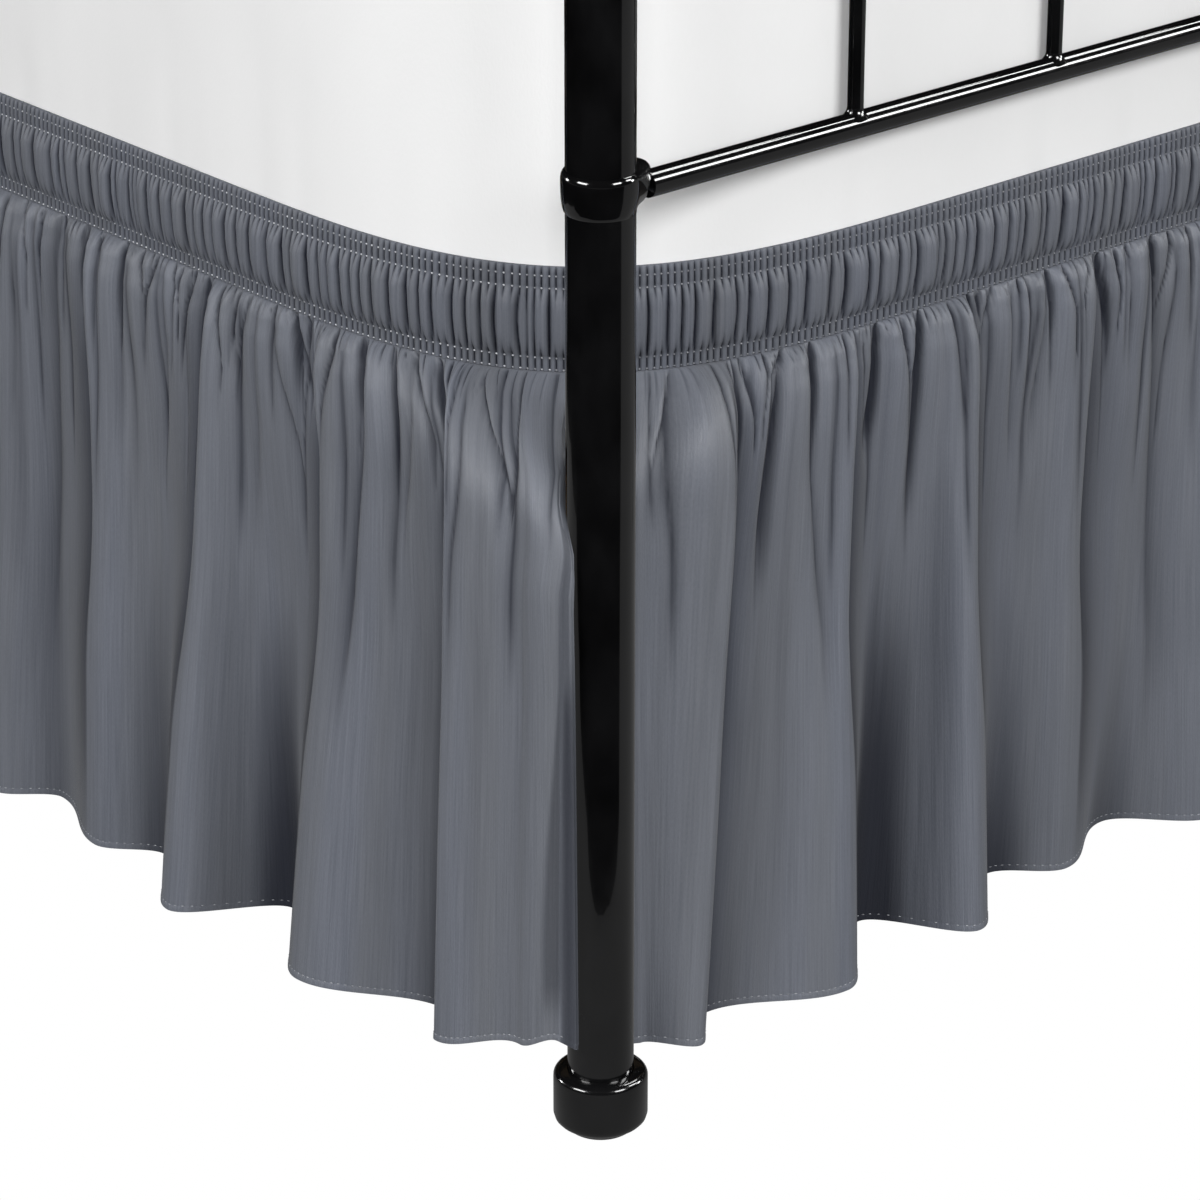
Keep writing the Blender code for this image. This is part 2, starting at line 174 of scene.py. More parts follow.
def plainWeaveGroup():
    # height of a fine plain weave: threads run along both directions of the cloth
    group, given, out = newGroup("plainWeave", (
        ("Place", "Vector", None), ("Thread", "Float", 0.0004),
    ), "Height")
    parts = addNode(group, "SeparateXYZ", {0: given["Place"]})
    waves = []
    for axis in ("X", "Y"):
        turns = addMath(group, "DIVIDE", parts.outputs[axis], given["Thread"])
        waves.append(addMath(group, "SINE", addMath(group, "MULTIPLY", turns, math.pi), 0.0))
    half = addMath(group, "MULTIPLY", addMath(group, "MULTIPLY", *waves), 0.5)
    feed(group, out, {"Height": addMath(group, "ADD", half, 0.5)})
    return group


stretchedNoise = stretchedNoiseGroup()
plainWeave = plainWeaveGroup()


def noiseMask(tree, place, scale, detail=3.0):
    inputs = {"Place": place, "Scale": scale, "Detail": detail}
    return addNode(tree, "Group", inputs, node_tree=stretchedNoise).outputs[0]


def mixColours(tree, mask, first, second):
    return addNode(tree, "Mix", {"Factor": mask, 6: first, 7: second}, data_type="RGBA").outputs[2]


def spreadTo(tree, mask, low, high):
    return addNode(tree, "MapRange", {"Value": mask, "To Min": low, "To Max": high}).outputs[0]


def addBump(tree, height, distance, strength, **before):
    inputs = {"Height": height, "Distance": distance, "Strength": strength, **before}
    return addNode(tree, "Bump", inputs).outputs[0]


def startMaterial(name, inputs):
    material = bpy.data.materials.new(name)
    material.use_nodes = True
    shader = material.node_tree.nodes["Principled BSDF"]
    feed(material.node_tree, shader, inputs)
    return material, material.node_tree, shader


# materials
satinLook = {
    "colour": (0.122, 0.134, 0.163), "streakColour": (0.186, 0.199, 0.236),
    # the near-black colour on the next line is painted shade, mixed in where folds and gathers pinch
    "greyColour": (0.146, 0.15, 0.153), "paintedShadeColour": (0.009, 0.01, 0.017),
    "roughness": (0.38, 0.52), "sheen": 0.12, "specular": 0.38,
    # scale in each direction, detail
    "streaks": ((1500.0, 16.0, 1.0), 4.0), "slubs": ((430.0, 6.0, 1.0), 2.0),
    "bands": ((32.0, 1.4, 1.0), 3.0), "grain": ((2600.0, 420.0, 1.0), 2.0),
    "streakShare": 0.5, "slubShare": 0.25, "greyShare": 0.35,
    "thread": 0.00042,
}


def makeSatin():
    # satin microfibre: fine upright streaks; painted shade darkens its colour and dims its sheen and
    # specular where the folds pinch
    look = satinLook
    material, tree, shader = startMaterial("skirtSatin", {"Sheen Roughness": 0.45})
    place = addNode(tree, "UVMap", uv_map="cloth").outputs[0]
    paintedShade = addNode(tree, "Attribute", attribute_name="paintedFoldShade").outputs["Fac"]
    streaks, slubs, bands, grain = (noiseMask(tree, place, *look[key])
                                    for key in ("streaks", "slubs", "bands", "grain"))
    coarse = addMath(tree, "MULTIPLY", addMath(tree, "ADD", slubs, grain), look["slubShare"])
    mask = addMath(tree, "ADD", addMath(tree, "MULTIPLY", streaks, look["streakShare"]), coarse)
    tone = mixColours(tree, mask, look["colour"], look["streakColour"])
    grey = addMath(tree, "MULTIPLY", bands, look["greyShare"])
    warm = mixColours(tree, grey, tone, look["greyColour"])
    unshadedShare = addMath(tree, "SUBTRACT", 1.0, paintedShade)
    weave = addNode(tree, "Group", {"Place": place, "Thread": look["thread"]}, node_tree=plainWeave)
    normal = addBump(tree, weave.outputs[0], 0.00005, 0.25)
    feed(tree, shader, {
        "Base Color": mixColours(tree, paintedShade, warm, look["paintedShadeColour"]),
        "Sheen Weight": addMath(tree, "MULTIPLY", unshadedShare, look["sheen"]),
        "Specular IOR Level": addMath(tree, "MULTIPLY", unshadedShare, look["specular"]),
        "Roughness": spreadTo(tree, streaks, *look["roughness"]),
        "Normal": addBump(tree, mask, 0.0004, 0.5, Normal=normal),
    })
    return material


def makeThread():
    material, tree, shader = startMaterial("stitchThread", {"Sheen Weight": 0.2, "Roughness": 0.5})
    tone = addNode(tree, "Attribute", attribute_name="threadTone").outputs["Fac"]
    feed(tree, shader, {"Base Color": mixColours(tree, tone, (0.125, 0.132, 0.15), (0.74, 0.76, 0.8))})
    return material


# noise scales are one for each direction, with their detail; bump is its distance and strength
black = (0.0024, 0.0024, 0.0026)
gloss = {
    # sprayed black enamel, or the moulded foot: a faint orange peel and uneven gloss
    "shader": {"Coat Roughness": 0.03, "Coat IOR": 1.6, "Specular IOR Level": 0.7},
    "tones": (black, tuple(2.2 * part for part in black)), "mottle": ((38.0, 38.0, 22.0), 5.0),
    "relief": ((450.0, 450.0, 450.0), 1.0), "bump": (0.0001, 0.06),
}
plainLooks = {
    # white jersey cover of the mattress
    "mattressJersey": {
        "shader": {"Sheen Weight": 0.15, "Specular IOR Level": 0.2}, "roughness": (0.85, 0.85),
        "tones": ((0.865, 0.865, 0.865), (0.91, 0.91, 0.91)), "mottle": ((7.0, 7.0, 5.0), 3.0),
        "relief": ((700.0, 700.0, 350.0), 3.0), "bump": (0.0002, 0.2),
    },
    "blackEnamel": {**gloss, "coat": 1.0, "roughness": (0.11, 0.18)},
    "footPlastic": {**gloss, "coat": 0.8, "roughness": (0.15, 0.22)},
    # sawn pine, grain along the slat
    "slatPine": {
        "shader": {"Specular IOR Level": 0.3}, "roughness": (0.55, 0.75),
        "tones": ((0.56, 0.4, 0.24), (0.66, 0.5, 0.32)), "mottle": ((1.5, 6.0, 6.0), 2.0),
        "relief": ((3.0, 95.0, 95.0), 6.0), "bump": (0.0004, 0.3), "grainTone": (0.42, 0.27, 0.14),
    },
}


def makePlain(name):
    look = plainLooks[name]
    material, tree, shader = startMaterial(name, {**look["shader"], "Coat Weight": look.get("coat", 0.0)})
    place = addNode(tree, "TexCoord").outputs["Object"]
    mottle = noiseMask(tree, place, *look["mottle"])
    relief = noiseMask(tree, place, *look["relief"])
    colour = mixColours(tree, mottle, *look["tones"])
    if "grainTone" in look:
        colour = mixColours(tree, relief, colour, look["grainTone"])
        mottle = relief
    feed(tree, shader, {
        "Base Color": colour, "Roughness": spreadTo(tree, mottle, *look["roughness"]),
        "Normal": addBump(tree, relief, *look["bump"]),
    })
    return material


skirtSatin = makeSatin()
stitchThread = makeThread()
mattressJersey, blackEnamel, footPlastic, slatPine = (makePlain(name) for name in plainLooks)
print("materials ready")


# mesh helpers
def linkNew(name, data):
    thing = bpy.data.objects.new(name, data)
    bpy.context.scene.collection.objects.link(thing)
    return thing


def addPiece(name, mesh, material, slotName, *nodes):
    mesh.materials.append(material)
    piece = linkNew(name, mesh)
    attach(piece, "root")
    if nodes:
        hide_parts(*nodes)
    return piece


def smoothShade(mesh, angle):
    mesh.shade_smooth()
    mesh.set_sharp_from_angle(angle=math.radians(angle))


def pointValues(mesh, name, values):
    layer = mesh.attributes.new(name, "FLOAT", "POINT")
    layer.data.foreach_set("value", values)


def ringMesh(name, rings, angle, closed=False):
    # skin over rings of points; a ring of one point is a tip, and a closed skin ends where it starts
    builder = bmesh.new()
    made = [[builder.verts.new(point) for point in ring] for ring in rings]
    if closed:
        made.append(made[0])
    for lower, upper in zip(made, made[1:]):
        count = max(len(lower), len(upper))
        for i in range(count):
            j = (i + 1) % count
            corners = [ring[k % len(ring)] for ring, k in ((lower, i), (lower, j), (upper, j), (upper, i))]
            builder.faces.new(list(dict.fromkeys(corners)))
    bmesh.ops.recalc_face_normals(builder, faces=builder.faces[:])
    mesh = bpy.data.meshes.new(name)
    builder.to_mesh(mesh)
    builder.free()
    smoothShade(mesh, angle)
    return mesh


def clothMesh(name, outer, inner, step, place, paintedShade, flip):
    # outer and inner faces of a cloth as (column, row, xyz); inner row k lies behind outer row k * step;
    # the painted shade of each place is stored on its points
    columns, rows = outer.shape[:2]
    innerRows = inner.shape[1]
    ringSize = rows + innerRows
    points = np.concatenate([outer, inner[:, ::-1]], axis=1).reshape(-1, 3)
    places, folds = (np.concatenate([part, part[:, ::step][:, ::-1]], axis=1) for part in (place, paintedShade))
    first = np.arange(columns - 1)[:, None] * ringSize
    here = np.arange(ringSize)[None, :]
    after = (here + 1) % ringSize
    quads = np.stack([first + here, first + after, first + ringSize + after,
                      first + ringSize + here], axis=-1).reshape(-1, 4)
    faces = (quads[:, ::-1] if flip else quads).tolist()
    for start, turned in ((0, not flip), ((columns - 1) * ringSize, flip)):
        for k in range(innerRows - 1):
            face = [start + k * step + i for i in range(step + 1)]
            face += [start + ringSize - 2 - k, start + ringSize - 1 - k]
            faces.append(face[::-1] if turned else face)
    mesh = bpy.data.meshes.new(name)
    mesh.from_pydata(points.tolist(), [], faces)
    corners = np.empty(len(mesh.loops), dtype=np.int32)
    mesh.loops.foreach_get("vertex_index", corners)
    layer = mesh.uv_layers.new(name="cloth")
    layer.data.foreach_set("uv", places.reshape(-1, 2)[corners].reshape(-1))
    pointValues(mesh, "paintedFoldShade", folds.reshape(-1))
    smoothShade(mesh, 75)
    mesh.validate()
    return mesh


def stitchMesh(name, centres, alongs, outs, sizes, tones):
    # each stitch is a small six-pointed bead: long along the seam, low over the cloth
    ways = (alongs, np.cross(outs, alongs), outs)
    corners = np.stack([centres + sign * way * sizes[:, i:i + 1] / 2
                        for i, way in enumerate(ways) for sign in (-1, 1)], axis=1)
    pattern = np.array([(0, 4, 2), (2, 4, 1), (1, 4, 3), (3, 4, 0),
                        (2, 5, 0), (1, 5, 2), (3, 5, 1), (0, 5, 3)])
    faces = (np.arange(len(centres))[:, None, None] * 6 + pattern[None]).reshape(-1, 3)
    mesh = bpy.data.meshes.new(name)
    mesh.from_pydata(corners.reshape(-1, 3).tolist(), [], faces.tolist())
    pointValues(mesh, "threadTone", np.repeat(tones, 6))
    mesh.shade_smooth()
    return mesh


# heading: two shirred elastic rows with a puffed band between them
heading = {
    "tuckIn": -0.0026,             # where the shirred rows lie, from the heading's plane
    "innerFace": -0.0043,
    "ribPitch": (0.0034, 0.0046),
    "ribsPerPuff": ((1, 0.14), (2, 0.42), (3, 0.38), (4, 0.06)),
    "ribHeight": 0.0016, "puffHeight": 0.0036,
    "puffTall": (0.65, 1.1), "fullPuff": 0.009, "puffShares": (0.45, 1.1),
    "lean": 0.003,                 # the puffs lean towards the corner at their lower ends
    "leanReach": 0.16, "leanEnd": 1.9, "leanFade": (0.25, 0.6), "bow": 0.0012,
    "pinchShades": (0.09, 0.95, 1.15), "mostPinchShade": 0.96,   # painted shade: everywhere, between ribs, between puffs
    "stitchLines": (0.005, 0.0116, 0.049, 0.0553),
    "rowsBelowTop": (0.0002, 0.0008, 0.0018, 0.0034, 0.005, 0.0066, 0.0083, 0.01, 0.0116, 0.0131,
                     0.015, 0.0175, 0.021, 0.0255, 0.03, 0.0345, 0.0385, 0.042, 0.0447, 0.0468,
                     0.049, 0.051, 0.0532, 0.0553, 0.056),
    "innerStep": 6,
    "fineReach": 0.62, "fineSteps": 6, "coarseSteps": 3,
    # distance below the top edge, amount
    "ribTable": ((0.0, 0.3), (0.0018, 0.7), (0.0034, 0.9), (0.005, 0.75), (0.0083, 1.0),
                 (0.0116, 0.75), (0.0133, 0.9), (0.0175, 0.35), (0.024, 0.08), (0.038, 0.08),
                 (0.0435, 0.35), (0.047, 0.9), (0.049, 0.75), (0.0521, 1.0), (0.0553, 0.75),
                 (0.056, 0.8)),
    "puffTable": ((0.0116, 0.0), (0.0133, 0.22), (0.0165, 0.7), (0.021, 1.0), (0.04, 1.0),
                  (0.0445, 0.7), (0.0475, 0.22), (0.049, 0.0)),
    "bulgeTable": ((0.0116, 0.0), (0.02, 0.0013), (0.032, 0.0018), (0.042, 0.001), (0.049, 0.0)),
}


class Band:
    # one length of the heading: its plan over the end wall backwards, round the nose and along the
    # side wall, and the ribs and puffs gathered into it
    def __init__(self, endWall, sideWall, seed):
        endLine = wallPath(endWall)[::-1]
        self.line = np.concatenate([endLine, wallPath(sideWall)[1:]])
        steps = np.hypot(*np.diff(self.line, axis=0).T)
        self.distance = np.concatenate([[0], np.cumsum(steps)])
        self.distance -= self.distance[len(endLine) - 1]
        tangent = unit(np.gradient(self.line, self.distance, axis=0))
        self.normal = np.stack([-tangent[:, 1], tangent[:, 0]], axis=1)
        self.ribEdges = unevenEdges(self.distance[0], self.distance[-1], *heading["ribPitch"], seed)
        self.ribEdges[-1] = self.distance[-1]
        draw = random.Random(seed + 1)
        counts, shares = zip(*heading["ribsPerPuff"])
        index = 0
        picked = []
        while index < len(self.ribEdges):
            picked.append(index)
            index += draw.choices(counts, shares)[0]
        self.puffEdges = np.concatenate([[self.ribEdges[0] - 0.02], self.ribEdges[picked],
                                         [self.ribEdges[-1] + 0.02]])
        self.puffTall = drawn(draw, self.puffEdges, *heading["puffTall"])
        self.puffBow = drawn(draw, self.puffEdges, -1, 1)

    def relief(self, at, below):
        # how far the face stands outside the shirred rows, and the painted shade of its pinches
        rib = np.interp(at, self.ribEdges, np.arange(len(self.ribEdges)))
        ribShare = np.abs(2 * (rib - np.floor(rib)) - 1)
        upper, lower = heading["stitchLines"][1:3]
        drop = np.clip((below - upper) / (lower - upper), 0, 1)
        side = np.tanh(at / heading["leanReach"])
        side = side * smooth(heading["leanEnd"] - np.abs(at), *heading["leanFade"])
        bow = np.interp(at, self.puffEdges, self.puffBow) * heading["bow"] * np.sin(math.pi * drop)
        shift = heading["lean"] * side * drop ** 1.4 + bow
        puff = np.interp(at + shift, self.puffEdges, np.arange(len(self.puffEdges)))
        puffIndex = np.clip(np.floor(puff).astype(int), 0, len(self.puffEdges) - 2)
        puffShare = np.abs(2 * (puff - puffIndex) - 1)
        width = np.diff(self.puffEdges)[puffIndex]
        tall = self.puffTall[puffIndex] * np.clip(width / heading["fullPuff"], *heading["puffShares"])
        rib, puff, out = (tableAt(below, heading[key]) for key in ("ribTable", "puffTable", "bulgeTable"))
        out = out + heading["ribHeight"] * rib * (1 - ribShare ** 2.2)
        out = out + heading["puffHeight"] * puff * tall * (1 - puffShare ** 3)
        least, ribShade, puffShade = heading["pinchShades"]
        pinchShade = least + ribShade * rib * ribShare ** 3 + puffShade * puff * puffShare ** 5
        return out, np.clip(pinchShade, 0, heading["mostPinchShade"])

    def plan(self, at):
        xy, normal = (np.stack([np.interp(at, self.distance, part[:, i]) for i in (0, 1)], axis=-1)
                      for part in (self.line, self.normal))
        return xy, unit(normal)

    def face(self, at, below, out):
        xy, normal = self.plan(at)
        return np.concatenate([xy + normal * out[..., None], (headingHigh[2] - below)[..., None]], axis=-1)

    def surface(self, at, below):
        relief, pinchShade = self.relief(at, below)
        return self.face(at, below, heading["tuckIn"] + relief), pinchShade


def buildBand(name, endWall, sideWall, fine, seed):
    band = Band(endWall, sideWall, seed)
    columns = []
    for low, high in zip(band.ribEdges, band.ribEdges[1:]):
        near = fine and abs(low) < heading["fineReach"]
        steps = heading["fineSteps"] if near else heading["coarseSteps"]
        columns += [low + (high - low) * i / steps for i in range(steps)]
    columns.append(band.ribEdges[-1])
    at, drop = np.meshgrid(columns, heading["rowsBelowTop"], indexing="ij")
    outer, pinchShade = band.surface(at, drop)
    step = heading["innerStep"]
    inner = band.face(at[:, ::step], drop[:, ::step], np.full_like(at[:, ::step], heading["innerFace"]))
    mesh = clothMesh(name, outer, inner, step, np.stack([at, -drop], axis=-1), pinchShade, True)
    piece = addPiece(name, mesh, skirtSatin, "skirt_cloth", "heading")
    print(name, "built,", len(columns), "columns")
    return band, piece


headingStitch = {
    "length": (0.0014, 0.002), "width": 0.0011, "height": 0.0013, "lift": 0.35,
    "slant": 0.35, "slantShares": (0.4, 1.2),
    "brightSpan": (0.01, 0.42),    # along the left side, where the thread shows lightest
    "brightFade": (0.02, 0.2),
    "lineTone": (0.75, 1.1, 0.85, 1.1), "plainTone": 0.4, "toneShares": (0.25, 1.0),
}


def buildHeadingStitches(name, band, side, seed):
    look = headingStitch
    draw = np.random.default_rng(seed)
    at = band.ribEdges[1:-1]
    count = len(at)
    normal = band.plan(at)[1]
    out = np.concatenate([normal, np.zeros((count, 1))], axis=1)
    level = np.stack([normal[:, 1], -normal[:, 0], np.zeros(count)], axis=1)
    low, high = look["brightSpan"]
    start, end = look["brightFade"]
    bright = smooth(at * side, low - start, low + start) * (1 - smooth(at * side, high, high + end))
    lines = []
    for line, lineTone in zip(heading["stitchLines"], look["lineTone"]):
        point = band.surface(at, np.full(count, line))[0]
        slant = draw.uniform(*look["slantShares"], count) * look["slant"]
        along = level * np.cos(slant)[:, None] + np.array([0, 0, 1]) * np.sin(slant)[:, None]
        sizes = np.tile([0.0, look["width"], look["height"]], (count, 1))
        sizes[:, 0] = draw.uniform(*look["length"], count)
        tone = draw.uniform(*look["toneShares"], count) * (look["plainTone"] + lineTone * bright)
        lines.append((point + out * look["height"] * look["lift"], along, out, sizes, np.clip(tone, 0, 1)))
    mesh = stitchMesh(name, *(np.concatenate(part) for part in zip(*lines)))
    return addPiece(name, mesh, stitchThread, "skirt_cloth")


bandNear, headingNear = buildBand("headingNear", "Foot", "Left", True, 5)
bandFar, headingFar = buildBand("headingFar", "Head", "Right", False, 6)
stitchesNear = buildHeadingStitches("headingStitchesNear", bandNear, 1, 7)
stitchesFar = buildHeadingStitches("headingStitchesFar", bandFar, -1, 8)
print("heading stitched")

# ruffles: the solids' large folds, with the gathers that run into them
ruffle = {
    "thickness": 0.0016, "seamGap": 0.0003, "hem": 0.0424, "tuckIn": -0.0025,
    "cornerReach": 0.27, "flareOut": 0.16, "flareAlong": 0.165,
    "edgeFlare": 0.091, "edgeReach": 0.008,   # a side panel's free edge comes out later
    "farRows": 7,                 # rows of a corner table that are mirrored at the far end
    # up to this distance from the near post, spacing of the columns
    "columnSteps": ((0.025, 0.0002), (0.05, 0.0006), (0.45, 0.0011), (0.62, 0.0018), (9.0, 0.0042)),
    "coarseStep": 0.0042,
    # drops of the first rows; spacing of the next ones, its growth and the drop that ends it;
    # heights over the hem where they stop, and those of the last rows
    "seamRows": (0.0, 0.0008), "rowSpacing": (0.0014, 0.0076, 0.1), "rowsEnd": (0.014, 0.012),
    "hemRows": (0.01, 0.0062, 0.0046, 0.004, 0.0036, 0.0032, 0.002, 0.0005, 0.0),
    # drop below the seam, how far the gathers puff out over it
    "puffTable": ((0.0, 0.0003), (0.003, 0.002), (0.008, 0.0042), (0.02, 0.0056), (0.06, 0.005),
                  (0.15, 0.0036), (0.361, 0.003)),
    "leastRelief": 0.0003, "edgeRelief": 0.25, "edgeFade": 0.018,    # flatter at the free edges
    "noseGap": 0.0015,
    "leastOut": -0.0027,          # the cloth's face stays outside this above the mattress's foot,
    "leastOutTo": 0.22,           # down to this share of the drop
    "hemFold": 0.0036,            # the stitched turn-up at the lower edge
    "hemRidge": (0.0004, 0.0012), "hemGroove": (0.0005, 0.0006),      # height or depth, reach
    "mostShade": 0.9,
    "hollowShifts": (1, 2, 3, 4, 6, 8, 11, 15, 20, 26, 33, 41),
    # share of the drop, how much has to be covered before painted shade darkens a place
    "hollowTable": ((0.0, 0.5), (0.1, 0.42), (0.3, 0.37), (0.55, 0.37), (0.8, 0.44), (1.0, 0.48)),
    "hollowMost": 0.85,
    "hollowFrom": ((0.015, 0.035), (0.3, 0.45)),  # past the post, or below this share of the drop
    # beside the post the free edge of a side panel turns in: reach, its way, share of drop it ends at
    "turnIn": 0.014, "turnWay": (-0.921, 0.389), "turnEnd": (0.12, 0.16),
    # there it also keeps close to the post: reach; share of drop, how far along, how far in
    "hugReach": 0.032,
    "hug": ((0.0, 0.0, 0.0), (0.05, 0.0016, 0.0059), (0.1, 0.002, 0.0098), (0.13, 0.0038, 0.0088),
            (0.15, 0.0031, 0.0071), (0.17, 0.0016, 0.0055), (0.2, 0.0, 0.0034), (0.256, 0.0, 0.0)),
    # and painted shade in a strip beside it: share of drop, width
    "strip": ((0.07, 0.0035), (0.41, 0.0047), (0.55, 0.0078), (0.69, 0.0116), (0.82, 0.013)),
    "stripShade": 0.45,
}
# rows of folds: distance from the post's axis; how far out beyond the heading plane; power with
# which the fold grows downwards; how far the hem is hitched up; how far it leans at the seam; how
# far it is pulled along just below the seam. What a row leaves out is 0
sideFolds = (
    (-0.006, -0.003, 1.0, 0.0128), (-0.002, 0.006, 0.5, 0.02), (0.02, 0.0115, 0.5, 0.0115),
    (0.069, 0.029, 0.4), (0.09, 0.003, 1.2), (0.172, 0.042, 1.14, 0.0, 0.004), (0.238, -0.008, 2.0),
    (0.284, 0.046, 0.93), (0.34, 0.006, 1.2), (0.377, 0.029, 0.8, 0.0, 0.006), (0.44, 0.007, 1.2),
    (0.473, 0.032, 0.8),
)
endFolds = (
    (0.02, 0.005, 0.6), (0.024, 0.0065, 0.6, 0.0, 0.0, 0.026), (0.046, 0.028, 0.42, 0.0, 0.037),
    (0.072, 0.003, 1.2, 0.0, 0.034), (0.147, 0.035, 1.04, 0.0, 0.02), (0.207, -0.019, 2.0, 0.0, 0.006),
    (0.251, 0.033, 0.6), (0.303, -0.013, 2.0), (0.342, 0.012, 0.6, 0.0, 0.004), (0.4, -0.016, 2.0),
    (0.452, 0.022, 0.7),
)
# each panel: its folds, its seed, and whether its columns are fine beside the near post
panels = {
    "Left": (sideFolds, 11, True), "Right": (sideFolds, 23, False),
    "Foot": (endFolds, 37, True), "Head": (endFolds, 41, False),
}
# the folds between the corners' own: steps along the wall, how far out, and growth
betweenFolds = {
    "room": 0.11, "farRoom": 0.075, "toTrough": (0.04, 0.06), "toCrest": (0.038, 0.058),
    "troughOut": (-0.014, 0.006), "troughGrowth": 1.8, "lastOut": -0.006,
    "leastCrest": 0.019, "mostCrest": 0.95, "crestGrowth": (0.6, 1.1),
}


def foldRows(cornerFolds, length, seed):
    # folds from one post to the next: the corner's own, then uneven ones of the same scale
    rows = [(*row, 0.0, 0.0, 0.0)[:6] for row in cornerFolds]
    far = [(length - at, *others, -slant, -tuck)
           for at, *others, slant, tuck in rows[:ruffle["farRows"]]][::-1]
    tallest = max(row[1] for row in rows)
    draw = random.Random(seed)
    look = betweenFolds
    while rows[-1][0] + look["room"] < far[0][0] - look["farRoom"]:
        trough = rows[-1][0] + draw.uniform(*look["toTrough"])
        crest = trough + draw.uniform(*look["toCrest"])
        rows.append((trough, draw.uniform(*look["troughOut"]), look["troughGrowth"], 0.0, 0.0, 0.0))
        rows.append((crest, draw.uniform(look["leastCrest"], look["mostCrest"] * tallest),
                     draw.uniform(*look["crestGrowth"]), 0.0, 0.0, 0.0))
    rows.append(((rows[-1][0] + far[0][0]) / 2, look["lastOut"], look["troughGrowth"], 0.0, 0.0, 0.0))
    return np.array(rows + far)


def foldAt(rows, at):
    # out, growth, lift, slant and tuck at each place, eased from row to row
    places = rows[:, 0]
    index = np.clip(np.searchsorted(places, at, side="left") - 1, 0, len(rows) - 2)
    share = np.clip((at - places[index]) / (places[index + 1] - places[index]), 0, 1)
    ease = (1 - np.cos(math.pi * share)) / 2
    return [column[index] + (column[index + 1] - column[index]) * ease for column in rows.T[1:]]


# pleats pressed in by the gathering, from the finest to the broadest. width: of a pleat; tall: its
# height as a share of the width, up to cap; rise, fade: drops over which it grows and dies away;
# closing: share of the narrower pleats that run to a point, and the drop where they do
pleatLooks = {
    "shirr": {"width": (0.0034, 0.0048), "tall": 0.4, "cap": 0.0018, "rise": 0.0003,
              "fade": (0.003, 0.014), "closing": 0.3, "closeDrop": (0.005, 0.014), "lean": 0.0},
    "gather": {"width": (0.0055, 0.023), "tall": 0.44, "cap": 0.0054, "rise": 0.0018,
               "fade": (0.016, 0.08), "closing": 0.9, "closeDrop": (0.012, 0.06), "lean": 0.003},
    "fall": {"width": (0.017, 0.036), "tall": 0.14, "cap": 0.004, "rise": 0.016,
             "fade": (0.06, 0.17), "closing": 0.3, "closeDrop": (0.08, 0.22), "lean": 0.006},
}


class Pleats:
    # one size of pleats along a panel; their edges run down the cloth and may close up
    def __init__(self, look, low, high, seed):
        draw = random.Random(seed)
        self.look = look
        self.edges = unevenEdges(low, high, *look["width"], seed)
        widths = np.diff(self.edges)
        middle = sum(look["width"]) / 2
        self.closes = np.array([width < middle and draw.random() < look["closing"] for width in widths])
        self.closeDrop = drawn(draw, widths, *look["closeDrop"])
        self.side = drawn(draw, widths, 0.15, 0.85)
        self.lean = drawn(draw, self.edges, -1, 1) * look["lean"]
        self.vary = drawn(draw, widths, 0.6, 1.15)

    def lines(self, drop):
        closed = np.diff(self.edges) * self.closes * smooth(drop, 0.0, self.closeDrop)
        lines = self.edges + self.lean * smooth(drop, 0.0, 0.1)
        lines[:-1] += closed * self.side
        lines[1:] -= closed * (1 - self.side)
        return np.maximum.accumulate(lines)

    def relief(self, at, drop):
        # height over the mean face, and painted shade by how deep in a groove a place lies
        look = self.look
        amount = (1 - math.exp(-drop / look["rise"])) * (1 - float(smooth(drop, *look["fade"])))
        lines = self.lines(drop)
        index = np.clip(np.searchsorted(lines, at, side="right") - 1, 0, len(lines) - 2)
        width = np.maximum(lines[index + 1] - lines[index], 1e-5)
        share = np.clip(np.abs(2 * (at - lines[index]) / width - 1), 0, 1)
        tall = np.minimum(look["tall"] * width, look["cap"]) * self.vary[index] * amount
        return tall * (0.55 - share ** 2.4), share ** 9 * np.clip(tall / 0.0022, 0, 1)
